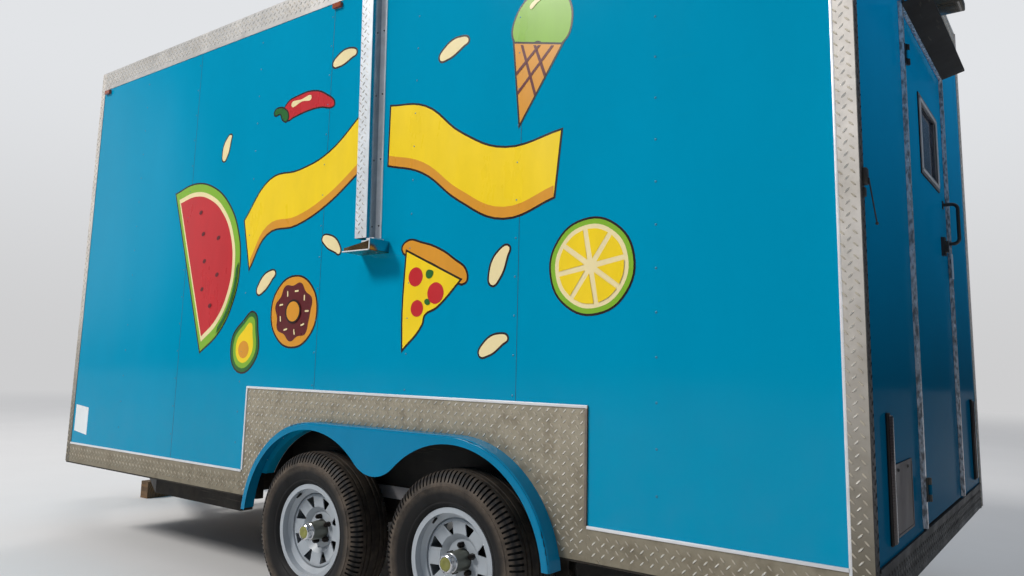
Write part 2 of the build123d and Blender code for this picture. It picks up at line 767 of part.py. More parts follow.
def wheel():
    """A white steel wheel about the origin, outboard towards +Y, with triangular holes.

    The pressed disc and the rolled barrel are one turned section each; the disc's holes are
    cut one after another round the axis.
    """
    lip, t, seat, well_r = RIM_W / 2, RIM_T, BEAD_R, BEAD_BACK_R
    # radius and outward place of the barrel's outer side, from the outboard lip inwards
    outer = [(RIM_LIP_R, lip), (RIM_LIP_R, lip - t), (seat, lip - t), (seat, BEAD_OUT),
             (well_r, WELL_OUT), (well_r, -WELL_IN), (seat, -BEAD_IN), (seat, t - lip),
             (RIM_LIP_R, t - lip), (RIM_LIP_R, -lip)]
    inner = [(seat - t, -lip), (seat - t, -BEAD_IN), (well_r - t, -WELL_IN - t),
             (well_r - t, WELL_OUT + t), (seat - t, BEAD_OUT + t), (seat - t, lip)]
    barrel = about_wheel_axis(outer + inner)
    holes = [Rot(0, 360 / DISC_HOLES * (i + 0.5), 0) * disc_hole() for i in range(DISC_HOLES)]
    return fused([barrel, wheel_disc()]) - group(holes)


def wheel_disc():
    """The pressed disc: a flat pad at the hub, a cone up to the crown, then into the barrel."""
    bore, weld = HUB_R + 3, BEAD_BACK_R - RIM_T + 1
    weld_out = DISC_FACE[-1][1] - WELL_DROP / 2
    front = [(bore, DISC_FACE[0][1]), *DISC_FACE, (weld, weld_out)]
    back = [(radius, out - DISC_T) for radius, out in reversed(front)]
    return about_wheel_axis(front + back)


def disc_hole():
    """A rounded triangle through the disc, its point towards the hub."""
    base, point, half = DISC_HOLE_BASE_R, DISC_HOLE_POINT_R, DISC_HOLE_HALF
    tip = DISC_HOLE_EASE + 1
    outline = make_face(Polyline((base, -half), (base, half), (point, tip), (point, -tip),
                                 close=True))
    outline = fillet(outline.vertices(), DISC_HOLE_EASE)
    return extrude(Plane.XZ * outline, amount=RIM_W / 2, dir=(0, 1, 0))


def hub():
    """A hub with its flange behind the disc and its cap out past it."""
    back, behind, cap = -HUB_BACK, -HUB_DISC_GAP, HUB_REACH - HUB_CAP_EASE
    barrel_r = HUB_FLANGE_R - HUB_FLANGE_STEP
    # radius and outward place; the bore is open inboard and closed by the cap
    outline = [(HUB_BORE_R, back), (barrel_r, back), (barrel_r, -HUB_FLANGE_T),
               (HUB_FLANGE_R, -HUB_FLANGE_T), (HUB_FLANGE_R, behind), (HUB_R, behind),
               (HUB_R, HUB_STEP), (HUB_CAP_R, HUB_STEP + HUB_CAP_EASE), (HUB_CAP_R, cap),
               (HUB_CAP_R - HUB_CAP_EASE, HUB_REACH), (0, HUB_REACH), (0, HUB_STEP),
               (HUB_BORE_R, HUB_STEP)]
    return about_wheel_axis(outline)


def at_wheel(shape, x, side):
    """A piece drawn about the origin, outboard to +Y, set on its axle end."""
    turned = shape if side > 0 else flip(shape)
    return Pos(x, side * WHEEL_Y, AXLE_Z) * turned


def door_leaf():
    """The rear door with its window cut out and the moving knuckles of its hinges."""
    leaf = door_space(0, -DOOR_T, 0)
    y = DOOR_WIN_Y - HALF_W
    window = block((-DOOR_T - 1, 1), (y - DOOR_WIN_W / 2, y + DOOR_WIN_W / 2),
                   (DOOR_WIN_Z - DOOR_WIN_H / 2, DOOR_WIN_Z + DOOR_WIN_H / 2))
    straps = []
    for z in HINGE_Z:
        low, high = z - KNUCKLE_L / 2, z + KNUCKLE_L / 2
        knuckle = rod((HINGE_OUT, DOOR_HINGE_Y, low), (HINGE_OUT, DOOR_HINGE_Y, high), HINGE_R)
        web = block((0, HINGE_OUT), [DOOR_HINGE_Y + y for y in WEB_Y], (low, high))
        strap = block((0, STRAP_T), (DOOR_HINGE_Y, DOOR_HINGE_Y + STRAP_L), (low, high))
        straps += [knuckle, web, strap]
    return fused([leaf - window] + straps)


def door_hinges():
    """The fixed knuckles of the door's hinges, on plates on the doorway's frame."""
    hinges = []
    face = DOOR_STRIP_PROUD + SEAT
    edge = DOOR_HINGE_Y - DOOR_GAP
    for z in HINGE_Z:
        parts = []
        for s in (-1, 1):
            near = z + s * (KNUCKLE_L / 2 + KNUCKLE_GAP)
            far = near + s * KNUCKLE_L * HINGE_ENDS
            parts.append(rod((HINGE_OUT, DOOR_HINGE_Y, near), (HINGE_OUT, DOOR_HINGE_Y, far),
                             HINGE_R))
            parts.append(block((face, HINGE_OUT), (DOOR_HINGE_Y - HINGE_LINK, DOOR_HINGE_Y),
                               (near, far)))
        half = KNUCKLE_L * (0.5 + HINGE_ENDS) + KNUCKLE_GAP
        plate = block((face, face + HINGE_PLATE_T), (edge - DOOR_STRIP_W, edge - SEAT),
                      (z - half, z + half))
        hinges.append(fused([plate] + parts))
    return group(hinges)


def door_trim():
    """The bright frame on the wall round three sides of the doorway, proud of the wall."""
    proud = DOOR_STRIP_PROUD
    strip = door_space(DOOR_GAP + DOOR_STRIP_W, SEAT, proud)
    strip -= door_space(DOOR_GAP, SEAT - 1, proud + 1)
    return strip - block((-1, proud + 1), (-HALF_W, HALF_W), (0, WALL_Z + SEAT + LIP_H))


def door_window_frame():
    """A bright frame on both sides of the door's window."""
    y, z = DOOR_WIN_Y - HALF_W, DOOR_WIN_Z
    w, h = DOOR_WIN_W / 2, DOOR_WIN_H / 2

    def ring(x_from, x_to, grow, shrink):
        outer = block((x_from, x_to), (y - w - grow, y + w + grow), (z - h - grow, z + h + grow))
        hole = block((x_from - 1, x_to + 1), (y - w + shrink, y + w - shrink),
                     (z - h + shrink, z + h - shrink))
        return outer - hole

    lap, back = WIN_FRAME_W / 2, -DOOR_T - SEAT
    outside = ring(SEAT, WIN_FRAME_PROUD, lap, lap)
    sleeve = ring(back, SEAT, -SEAT, WIN_SLEEVE_T)
    inside = ring(back - WIN_FRAME_BACK, back, lap, WIN_SLEEVE_T)
    return fused([outside, sleeve, inside])


def door_glass():
    y, z = DOOR_WIN_Y - HALF_W, DOOR_WIN_Z
    w, h = DOOR_WIN_W / 2 - WIN_SLEEVE_T, DOOR_WIN_H / 2 - WIN_SLEEVE_T
    return block((-GLASS_SET - GLASS_T, -GLASS_SET), (y - w, y + w), (z - h, z + h))


def door_latch():
    """The door's slam latch: a case with a paddle, under the pull handle."""
    y = LATCH_Y - HALF_W
    case = block((SEAT, LATCH_T), (y - LATCH_W / 2, y + LATCH_W / 2), LATCH_Z)
    paddle = block((LATCH_T, LATCH_T + PADDLE_T), (y - PADDLE_W / 2, y + PADDLE_W / 2), PADDLE_Z)
    return fused([case, paddle])


def grab_handle():
    """The door's pull: a round bar bent into a U, with a foot at each end on the door."""
    y = GRAB_Y - HALF_W
    low, high = GRAB_Z
    path = FilletPolyline((FOOT_SINK, y, low), (GRAB_REACH, y, low), (GRAB_REACH, y, high),
                          (FOOT_SINK, y, high), radius=GRAB_BEND_R)
    bar = sweep(Plane(origin=(FOOT_SINK, y, low), z_dir=(1, 0, 0)) * Circle(GRAB_R), path=path)
    feet = [block((SEAT, FOOT_T), (y - GRAB_FOOT_W / 2, y + GRAB_FOOT_W / 2),
                  (z - GRAB_FOOT_H / 2, z + GRAB_FOOT_H / 2)) for z in GRAB_Z]
    return fused([bar] + feet)


def door_visor():
    """A drip hood over the door: a thin shelf with a low lip, its flange on the door's frame."""
    reach, rise, t = VISOR_REACH, VISOR_RISE, VISOR_T
    section = make_face(Polyline(
        (0, 0), (reach, rise), (reach, rise + VISOR_LIP), (reach - t, rise + VISOR_LIP),
        (reach - t, rise + t), (t, t), (t, VISOR_FLANGE), (0, VISOR_FLANGE), close=True))
    placed = Pos(VISOR_X, VISOR_END_Y - HALF_W, VISOR_Z) * (Plane.XZ * section)
    return extrude(placed, amount=VISOR_END_Y - VISOR_STREET_Y, dir=(0, -1, 0))


def tail_lights():
    """A tall lamp strip on each side of the rear wall."""
    y, half = HALF_W - LAMP_Y, LAMP_W / 2
    strip = block((SEAT, LAMP_T), (y - half, y + half), LAMP_Z)
    strip = fillet([e for e in strip.edges() if e.center().X > LAMP_T - 1], LAMP_EASE)
    return both_sides(strip)


def number_plate():
    """A blank plate on a bracket that stands off the rear wall."""
    low, high = (y - HALF_W for y in PLATE_Y)
    middle = (low + high) / 2
    plate = block((PLATE_X, PLATE_X + PLATE_T), (low, high), PLATE_Z)
    foot_z = (PLATE_Z[0] + PLATE_FOOT_INSET, PLATE_Z[1] - PLATE_FOOT_TOP)
    feet = [block((SEAT, PLATE_X), (y, y + PLATE_FOOT_W), foot_z)
            for y in (low + PLATE_FOOT_INSET, high - PLATE_FOOT_INSET - PLATE_FOOT_W)]
    hole_z = PLATE_Z[1] - PLATE_HOLE_DROP
    holes = [rod((PLATE_X - 1, middle + s * PLATE_PITCH / 2, hole_z),
                 (PLATE_X + PLATE_T + 1, middle + s * PLATE_PITCH / 2, hole_z), PLATE_HOLE_R)
             for s in (-1, 1)]
    return fused([plate] + feet) - group(holes)


def marker_lights():
    """Small clearance lamps under the roof trim, and three over the rear door."""
    out = SEAT + MARKER_T / 2
    lamps = []
    for x in (MARKER_FRONT_INSET - BODY_L, -BODY_L / 2, -MARKER_REAR_INSET):
        lamp = Pos(x, HALF_W + out, TRIM_Z - MARKER_DROP) * Box(MARKER_L, MARKER_T, MARKER_H)
        lamps += [lamp, flip(lamp)]
    for y in (-MARKER_PITCH, 0.0, MARKER_PITCH):
        place = Pos(out, y, TRIM_Z - MARKER_DOOR_DROP)
        lamps.append(place * Box(MARKER_T, MARKER_L, MARKER_H))
    return group(lamps)


def flood_light():
    """A work lamp on the rear wall, over the hood."""
    low = VISOR_Z + FLOOD_ABOVE
    middle_y, middle_z = sum(FLOOD_Y) / 2, low + FLOOD_H / 2
    half = FLOOD_ARM_W / 2
    case = block(FLOOD_X, FLOOD_Y, (low, low + FLOOD_H))
    arm = block((SEAT, FLOOD_X[0]), (middle_y - half, middle_y + half),
                (middle_z - half, middle_z + half))
    return fused([case, arm])


def door_holdback():
    """A hook on the rear corner that holds the door when it stands open."""
    y, back = HOLD_Y - HALF_W, SKIN_T + SEAT
    plate = block((back, back + FOOT_T), (y - HOLD_PLATE_W / 2, y + HOLD_PLATE_W / 2),
                  (HOLD_Z - HOLD_PLATE_H / 2, HOLD_Z + HOLD_PLATE_H / 2))
    post = rod((back + FOOT_SINK, y, HOLD_Z), (HOLD_REACH, y, HOLD_Z), HOLD_POST_R)
    hook_x = HOLD_REACH - 2 * HOLD_HOOK_R
    hook = rod((hook_x, y, HOLD_Z), (hook_x, y + HOLD_HOOK_SIDE, HOLD_Z - HOLD_HOOK_DROP),
               HOLD_HOOK_R)
    return fused([plate, post, hook])


def wall_channel():
    """A hat-shaped channel up the street wall, leaning a little forward."""
    face, depth, flange, t = CHANNEL_FACE / 2, CHANNEL_DEPTH, CHANNEL_FLANGE, CHANNEL_T
    y = -HALF_W - SEAT
    section = make_face(Polyline(
        (-face, y), (-face, y - depth), (face, y - depth), (face, y - t), (face + flange, y - t),
        (face + flange, y), (face - t, y), (face - t, y - depth + t), (t - face, y - depth + t),
        (t - face, y), close=True))
    height = TRIM_Z - CHANNEL_Z
    upper = Pos(CHANNEL_X - CHANNEL_LEAN, 0, TRIM_Z) * section
    lower = Pos(CHANNEL_X, 0, CHANNEL_Z) * section
    return loft([lower, upper])


def channel_bracket():
    """The plate bracket under the channel: a foot on the wall, a web and a shelf."""
    low, high = BRACKET_Z
    y = -HALF_W - SEAT
    foot_x = (CHANNEL_X - CHANNEL_FACE / 2 - BRACKET_BASE / 2, CHANNEL_X + CHANNEL_FACE / 2)
    foot = block(foot_x, (y - BRACKET_T, y), (low - BRACKET_FOOT_BELOW, high + BRACKET_FOOT_ABOVE))
    shelf = block(foot_x, (y - BRACKET_REACH, y), (low, low + BRACKET_T))
    half_web = BRACKET_WEB_T / 2
    web = block((CHANNEL_X - half_web, CHANNEL_X + half_web),
                (y - BRACKET_REACH * BRACKET_WEB_SHARE, y), (low, high))
    centre = (foot_x[0] + foot_x[1]) / 2
    hole_y = y - BRACKET_REACH * BRACKET_HOLE_SHARE
    holes = [rod((centre + s * BRACKET_PITCH / 2, hole_y, low - 1),
                 (centre + s * BRACKET_PITCH / 2, hole_y, low + BRACKET_T + 1),
                 BRACKET_HOLE_R) for s in (-1, 1)]
    return fused([foot, shelf, web]) - group(holes)


def hatch_leaf():
    """The serving hatch's leaf with its moving hinge knuckles along the top."""
    g = HATCH_GAP
    leaf = block((HATCH_X[0] + g, HATCH_X[1] - g), (HALF_W - HATCH_T, HALF_W),
                 (HATCH_Z[0] + g, HATCH_Z[1] - g))
    return fused([leaf] + hatch_knuckles(1))


def hatch_knuckles(moving):
    """Every second knuckle along the hatch's hinge, with the web that holds it."""
    y, z = HALF_W + HATCH_HINGE_OUT, HATCH_Z[1]
    pitch = (HATCH_X[1] - HATCH_X[0] - 2 * HATCH_GAP) / HATCH_KNUCKLES
    drop, half_web = z - HATCH_WEB_DROP, HATCH_WEB_T / 2
    parts = []
    for i in range(HATCH_KNUCKLES):
        if i % 2 != moving:
            continue
        x0 = HATCH_X[0] + HATCH_GAP + i * pitch + KNUCKLE_GAP / 2
        x1 = x0 + pitch - KNUCKLE_GAP
        parts.append(rod((x0, y, z), (x1, y, z), HATCH_KNUCKLE_R))
        if moving:
            parts.append(block((x0, x1), (HALF_W, y), (drop, drop + HATCH_WEB_H)))
            parts.append(block((x0, x1), (y - half_web, y + half_web), (drop, z)))
        else:
            parts.append(block((x0, x1), (HALF_W + SEAT, y), [z + ear for ear in HATCH_EAR_Z]))
    return parts


def hatch_hinge():
    """The fixed half of the hatch's hinge, on the wall above the opening."""
    z = HATCH_Z[1]
    plate = block(HATCH_X, (HALF_W + SEAT, HALF_W + HATCH_PLATE_T),
                  (z + HATCH_EAR_Z[0], z + HATCH_PLATE_H))
    return fused([plate] + hatch_knuckles(0))


def serving_frame():
    """The window frame inside the serving opening, with two mullions."""
    y0 = INNER_W
    y1 = INNER_W + SERVE_FRAME_T
    w = SERVE_FRAME_W
    outer = block(HATCH_X, (y0, y1), HATCH_Z)
    x0, x1 = HATCH_X[0] + w, HATCH_X[1] - w
    z0, z1 = HATCH_Z[0] + w, HATCH_Z[1] - w
    frame = outer - block((x0, x1), (y0 - 1, y1 + 1), (z0, z1))
    pane = (x1 - x0) * SERVE_PANE_SHARE
    half = MULLION_W / 2
    mullions = [block((x - half, x + half), (y0, y1), (z0, z1)) for x in (x0 + pane, x1 - pane)]
    return fused([frame] + mullions)


def serving_glass():
    """A pane at each end of the serving window; the middle is open."""
    w = SERVE_FRAME_W
    x0, x1 = HATCH_X[0] + w, HATCH_X[1] - w
    pane = (x1 - x0) * SERVE_PANE_SHARE - MULLION_W / 2
    y = INNER_W + SERVE_FRAME_T / 2
    spans = ((x0, x0 + pane), (x1 - pane, x1))
    return group([block(span, (y - GLASS_T / 2, y + GLASS_T / 2),
                        (HATCH_Z[0] + w, HATCH_Z[1] - w)) for span in spans])


def shelf_axis():
    """The shelf hinge's Y and Z."""
    return HALF_W + SHELF_OUT, HATCH_Z[0] - SHELF_DROP


def serving_shelf():
    """The counter shelf, hanging folded against the wall under the hatch."""
    y, z = shelf_axis()
    plate = block(HATCH_X, (y - SHELF_T / 2, y + SHELF_T / 2), (z - SHELF_H, z - SHELF_TOP_GAP))
    half, half_web = SHELF_KNUCKLE_L / 2, SHELF_WEB_T / 2
    knuckles = []
    for x in shelf_hinge_x():
        knuckles.append(rod((x - half, y, z), (x + half, y, z), SHELF_KNUCKLE_R))
        knuckles.append(block((x - half, x + half), (y - half_web, y + half_web),
                              (z - SHELF_TOP_GAP - FOOT_SINK, z)))
    return fused([plate] + knuckles)


def shelf_hinge_x():
    """The middles of the shelf's four hinges."""
    span = HATCH_X[1] - HATCH_X[0]
    return [HATCH_X[0] + span * share for share in SHELF_HINGE_SHARES]


def shelf_brackets():
    """The fixed ears that carry the shelf's hinges."""
    y, z = shelf_axis()
    ear_r = SHELF_KNUCKLE_R
    near_off = SHELF_KNUCKLE_L / 2 + KNUCKLE_GAP
    half = near_off + EAR_L
    brackets = []
    for x in shelf_hinge_x():
        ears = []
        for s in (-1, 1):
            near, far = x + s * near_off, x + s * half
            ears.append(rod((near, y, z), (far, y, z), ear_r))
            ears.append(block((near, far), (HALF_W + SEAT, y), (z - ear_r, z + ear_r)))
        plate = block((x - half, x + half), (HALF_W + SEAT, HALF_W + FOOT_T),
                      (z - EAR_PLATE_H / 2, z + EAR_PLATE_H / 2))
        brackets.append(fused([plate] + ears))
    return group(brackets)


def all_nodes():
    """Every node's name and shape, before the shift to the final origin."""
    street_wall = flip(side_wall())
    nodes = {
        "main_rails": main_rails(),
        "side_sills": side_sills(),
        "cross_members": cross_members(),
        "tongue_frame": tongue_frame(),
        "coupler": coupler(),
        "jack_tube": jack_tube(),
        "jack_leg": jack_leg(),
        "jack_block": jack_block(),
        "floor_deck": floor_deck(),
        "wall_street": street_wall,
        "wall_kerb": side_wall() - hatch_opening(),
        "wall_front": end_wall(-BODY_L, -BODY_L + WALL_T),
        "wall_rear": wall_rear(),
        "roof": roof(),
        "wheel_wells": wheel_wells(),
        "fenders": fenders(),
        "wheel_panels": wheel_panels(),
        "skirt_trim": skirt_trim(),
        "roof_trim": roof_trim(),
        "corner_trims": corner_trims(),
        "axles": axles(),
        "leaf_springs": leaf_springs(),
        "spring_hangers": spring_hangers(),
        "door_leaf": door_leaf(),
        "door_hinges": door_hinges(),
        "door_trim": door_trim(),
        "door_window_frame": door_window_frame(),
        "door_glass": door_glass(),
        "door_latch": door_latch(),
        "grab_handle": grab_handle(),
        "door_visor": door_visor(),
        "tail_lights": tail_lights(),
        "number_plate": number_plate(),
        "marker_lights": marker_lights(),
        "flood_light": flood_light(),
        "door_holdback": door_holdback(),
        "wall_channel": wall_channel(),
        "channel_bracket": channel_bracket(),
        "hatch_leaf": hatch_leaf(),
        "hatch_hinge": hatch_hinge(),
        "serving_frame": serving_frame(),
        "serving_glass": serving_glass(),
        "serving_shelf": serving_shelf(),
        "shelf_brackets": shelf_brackets(),
    }
    tyre_shape, wheel_shape, hub_shape = tyre(), wheel(), hub()
    for axle_name, x in AXLES:
        for side_name, side in SIDES:
            place = f"{axle_name}_{side_name}"
            nodes[f"tyre_{place}"] = at_wheel(tyre_shape, x, side)
            nodes[f"wheel_{place}"] = at_wheel(wheel_shape, x, side)
            nodes[f"hub_{place}"] = at_wheel(hub_shape, x, side)
    return nodes


# the whole model's box in the drawing frame, from the pieces that reach furthest
REACH_FRONT = BALL_X - BALL_R - COUPLER_WALL
REACH_REAR = max(VISOR_X + VISOR_REACH, FLOOD_X[1])
REACH_STREET = -HALF_W - SEAT - BRACKET_REACH
REACH_KERB = HALF_W + max(FENDER_REACH, HUB_REACH - WHEEL_INSET)
SHIFT = (-(REACH_FRONT + REACH_REAR) / 2, -(REACH_STREET + REACH_KERB) / 2, 0.0)


def main():
    os.makedirs("parts", exist_ok=True)
    for name, shape in all_nodes().items():
        export_step(Pos(*SHIFT) * shape, os.path.join("parts", f"{name}.step"))


if __name__ == "__main__":
    main()
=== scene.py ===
"""The looks of a food trailer: paint, sheet joints, lugs, tyres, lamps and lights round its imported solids.

Metres, in the frame of the solids: +X towards the trailer's rear, -Y towards the street side, +Z up.
"""
from math import cos, hypot, pi, radians, sin

import bmesh
import bpy
from mathutils import Matrix, Vector


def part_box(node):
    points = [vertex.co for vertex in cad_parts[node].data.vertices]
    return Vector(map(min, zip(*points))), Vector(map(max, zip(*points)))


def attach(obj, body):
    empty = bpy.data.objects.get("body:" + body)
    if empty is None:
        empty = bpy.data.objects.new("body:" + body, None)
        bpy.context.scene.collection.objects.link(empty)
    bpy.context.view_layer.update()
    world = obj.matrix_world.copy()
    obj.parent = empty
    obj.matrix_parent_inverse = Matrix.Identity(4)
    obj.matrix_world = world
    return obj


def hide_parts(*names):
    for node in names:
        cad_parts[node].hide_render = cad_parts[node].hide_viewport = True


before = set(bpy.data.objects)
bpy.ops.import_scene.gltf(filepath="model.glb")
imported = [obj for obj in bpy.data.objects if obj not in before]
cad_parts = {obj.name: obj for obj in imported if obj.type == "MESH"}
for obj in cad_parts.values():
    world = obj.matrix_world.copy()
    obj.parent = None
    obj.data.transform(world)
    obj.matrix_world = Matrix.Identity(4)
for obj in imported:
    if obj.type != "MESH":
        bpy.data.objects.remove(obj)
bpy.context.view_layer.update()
scene = bpy.context.scene
scene.view_settings.view_transform = "Standard"

# places taken from the solids
WALL_LOW, WALL_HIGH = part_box("wall_street")
FRONT_X, REAR_X = WALL_LOW.x, WALL_HIGH.x
STREET_Y, KERB_Y = WALL_LOW.y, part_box("wall_kerb")[1].y
WALL_T = WALL_HIGH.y - WALL_LOW.y
WALLS = (("street", STREET_Y, -1), ("kerb", KERB_Y, 1))
MIDDLE_X, MIDDLE_Y = (FRONT_X + REAR_X) / 2, (STREET_Y + KERB_Y) / 2
TRIM_LOW, TRIM_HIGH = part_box("roof_trim")
SKIRT_LOW, SKIRT_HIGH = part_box("skirt_trim")
PANEL_LOW, PANEL_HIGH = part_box("wheel_panels")
SKIN_T = 0.003
CORNER_REAR_SIDE, CORNER_REAR_END, CORNER_FRONT = 0.070, 0.040, 0.045
HATCH_LOW, HATCH_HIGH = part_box("hatch_leaf")
SHELF_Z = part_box("serving_shelf")[0].z
FENDER_LOW, FENDER_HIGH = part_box("fenders")
AXLE_Z = sum(end.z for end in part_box("wheel_front_street")) / 2
FRONT_AXLE, REAR_AXLE = (sum(end.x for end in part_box(wheel)) / 2
                         for wheel in ("wheel_front_street", "wheel_rear_street"))
FENDER_R = FRONT_AXLE - FENDER_LOW.x
ARCH_R = FENDER_R - 0.033
CHANNEL_LOW, CHANNEL_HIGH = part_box("wall_channel")
BRACKET_LOW, BRACKET_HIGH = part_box("channel_bracket")
LAMP_LOW, LAMP_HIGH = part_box("tail_lights")
FRAME_LOW, FRAME_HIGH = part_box("door_window_frame")
HOOK_LOW, HOOK_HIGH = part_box("door_holdback")
FLOOD_LOW, FLOOD_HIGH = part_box("flood_light")
DOOR_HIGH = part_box("door_leaf")[1]
PLATE_LOW, PLATE_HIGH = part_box("number_plate")
RAIL_LOW, RAIL_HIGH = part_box("main_rails")
WHEELS = ("front_street", "front_kerb", "rear_street", "rear_kerb")


def srgb(red, green, blue):
    """A colour given as 0 to 255 steps of a screen, turned to the linear values a shader takes."""
    def linear(step):
        share = step / 255
        return share / 12.92 if share <= 0.04045 else ((share + 0.055) / 1.055) ** 2.4
    return (linear(red), linear(green), linear(blue), 1.0)


def shaded(colour, share):
    """A colour made darker or lighter by a share."""
    return tuple(min(1.0, part * share) for part in colour[:3]) + (1.0,)


def add(tree, kind, inputs=None, **settings):
    """A node with its settings, and inputs that are values or other nodes' sockets."""
    node = tree.nodes.new(kind)
    for key, value in settings.items():
        setattr(node, key, value)
    for key, value in (inputs or {}).items():
        if isinstance(value, bpy.types.NodeSocket):
            tree.links.new(value, node.inputs[key])
        else:
            node.inputs[key].default_value = value
    return node


def mixed(tree, share, first, second):
    """The colour between two colours, by a share from 0 to 1."""
    return add(tree, "ShaderNodeMix", {0: share, 6: first, 7: second}, data_type="RGBA").outputs[2]


def math(tree, operation, first, second=0.0, clamp=False):
    return add(tree, "ShaderNodeMath", {0: first, 1: second}, operation=operation,
               use_clamp=clamp).outputs[0]


def times(tree, first, second, clamp=False):
    return math(tree, "MULTIPLY", first, second, clamp)


def plus(tree, first, second):
    return math(tree, "ADD", first, second)


def less(tree, first, second):
    """The first value less the second."""
    return math(tree, "SUBTRACT", first, second)


def below(tree, value, limit):
    """1 where a value is under its limit and 0 elsewhere."""
    return math(tree, "LESS_THAN", value, limit)


def slanted(tree, first, second):
    """The length of the slanted side over two square legs."""
    return math(tree, "SQRT", plus(tree, times(tree, first, first), times(tree, second, second)))


def ranged(tree, value, low, high, to_low=0.0, to_high=1.0, curve="LINEAR"):
    """A value between low and high, turned to one between to_low and to_high."""
    return add(tree, "ShaderNodeMapRange", {"Value": value, "From Min": low, "From Max": high,
                                            "To Min": to_low, "To Max": to_high},
               interpolation_type=curve).outputs[0]


def places(tree):
    """Object coordinates, which are the part's own metres."""
    return add(tree, "ShaderNodeTexCoord").outputs["Object"]


def axes(tree):
    """A place's X, Y and Z, each as a value."""
    return add(tree, "ShaderNodeSeparateXYZ", {0: places(tree)}).outputs


def stretched(tree, scale):
    """Object coordinates scaled along each axis."""
    return add(tree, "ShaderNodeMapping", {"Vector": places(tree), "Scale": scale}).outputs[0]


def noise(tree, vector, scale, detail=4.0, roughness=0.55):
    return add(tree, "ShaderNodeTexNoise", {"Vector": vector, "Scale": scale, "Detail": detail,
                                            "Roughness": roughness}).outputs["Fac"]


def bumped(tree, height, strength, distance):
    return add(tree, "ShaderNodeBump", {"Strength": strength, "Distance": distance,
                                        "Height": height}).outputs[0]


NUMBER, DIRECTION = "NodeSocketFloat", "NodeSocketVector"


def effect(name, draw, output, kind=NUMBER, **inputs):
    """A shader group with named inputs and the one output that draw works out from them."""
    tree = bpy.data.node_groups.new(name, "ShaderNodeTree")
    for label, value in inputs.items():
        tree.interface.new_socket(label, in_out="INPUT", socket_type=NUMBER).default_value = value
    tree.interface.new_socket(output, in_out="OUTPUT", socket_type=kind)
    given = tree.nodes.new("NodeGroupInput").outputs
    result = tree.nodes.new("NodeGroupOutput").inputs[output]
    tree.links.new(draw(tree, given), result)
    return tree


def road_dust(tree, given):
    """Dust thrown up from the road: thick near the ground and gone by Top."""
    fall = ranged(tree, axes(tree)["Z"], less(tree, given["Top"], given["Fade"]), given["Top"], 1.0, 0.0)
    cloud = ranged(tree, noise(tree, places(tree), 7.0, 6.0, 0.65), 0.35, 0.7)
    return times(tree, times(tree, fall, cloud), given["Amount"], clamp=True)


def smears(tree, given):
    """Wiping marks and patches where a surface is duller or brighter."""
    cloud = noise(tree, stretched(tree, (1.0, 1.0, 0.35)), given["Scale"], 5.0, 0.6)
    return ranged(tree, cloud, 0.3, 0.7, given["Low"], given["High"])


def scuffs(tree, given):
    """Fine scratches that run along the sheet, as a mask of thin lines."""
    lines = noise(tree, stretched(tree, (0.12, 0.12, 3.0)), given["Scale"], 3.0, 0.7)
    return times(tree, ranged(tree, lines, 0.62, 0.7), given["Amount"])


def sheet_waves(tree, given):
    """The slow ripple of thin sheet between its fixings, as a normal."""
    swell = noise(tree, stretched(tree, (1.0, 1.0, 0.6)), given["Scale"], 1.0, 0.4)
    return bumped(tree, swell, 1.0, given["Depth"])


def arch_distance(tree, given):
    """How far a place lies from the line between the two axles' ends, seen from the side."""
    parts = axes(tree)
    off = math(tree, "ABSOLUTE", less(tree, parts["X"], (FRONT_AXLE + REAR_AXLE) / 2))
    beyond = math(tree, "MAXIMUM", less(tree, off, (REAR_AXLE - FRONT_AXLE) / 2), 0.0)
    return slanted(tree, beyond, less(tree, parts["Z"], AXLE_Z))


def wheel_rings(tree, given):
    """A wheel's own radius as a value: how far a place lies from the nearer axle."""
    parts = axes(tree)
    near = math(tree, "MINIMUM", *[math(tree, "ABSOLUTE", less(tree, parts["X"], axle))
                                   for axle in (FRONT_AXLE, REAR_AXLE)])
    return slanted(tree, near, less(tree, parts["Z"], AXLE_Z))


ROAD_DUST = effect("road_dust", road_dust, "Mask", Top=1.0, Fade=0.6, Amount=0.5)
SMEARS = effect("smears", smears, "Value", Scale=3.0, Low=0.0, High=1.0)
SCUFFS = effect("scuffs", scuffs, "Mask", Scale=40.0, Amount=0.5)
SHEET_WAVES = effect("sheet_waves", sheet_waves, "Normal", DIRECTION, Scale=1.6, Depth=0.004)
ARCH_DISTANCE = effect("arch_distance", arch_distance, "Distance")
WHEEL_RINGS = effect("wheel_rings", wheel_rings, "Radius")
DUST = srgb(150, 138, 120)


def use(tree, group, **inputs):
    return add(tree, "ShaderNodeGroup", inputs, node_tree=group).outputs[0]


def smeared(tree, scale, low, high):
    """A value that drifts between low and high in wiping marks."""
    return use(tree, SMEARS, Scale=scale, Low=low, High=high)


def toned(tree, colour, spread=0.12, scale=2.5):
    """A colour that drifts slowly between a darker and a lighter tone."""
    return mixed(tree, use(tree, SMEARS, Scale=scale), shaded(colour, 1 - spread),
                 shaded(colour, 1 + spread))


def new_material(name):
    material = bpy.data.materials.new(name)
    material.use_nodes = True
    return material, material.node_tree


def feed(material, **sockets):
    """Links or sets the shader's inputs, named with low lines for spaces."""
    tree = material.node_tree
    for key, value in sockets.items():
        socket = tree.nodes["Principled BSDF"].inputs[key.replace("_", " ")]
        if isinstance(value, bpy.types.NodeSocket):
            tree.links.new(value, socket)
        else:
            socket.default_value = value
    return material


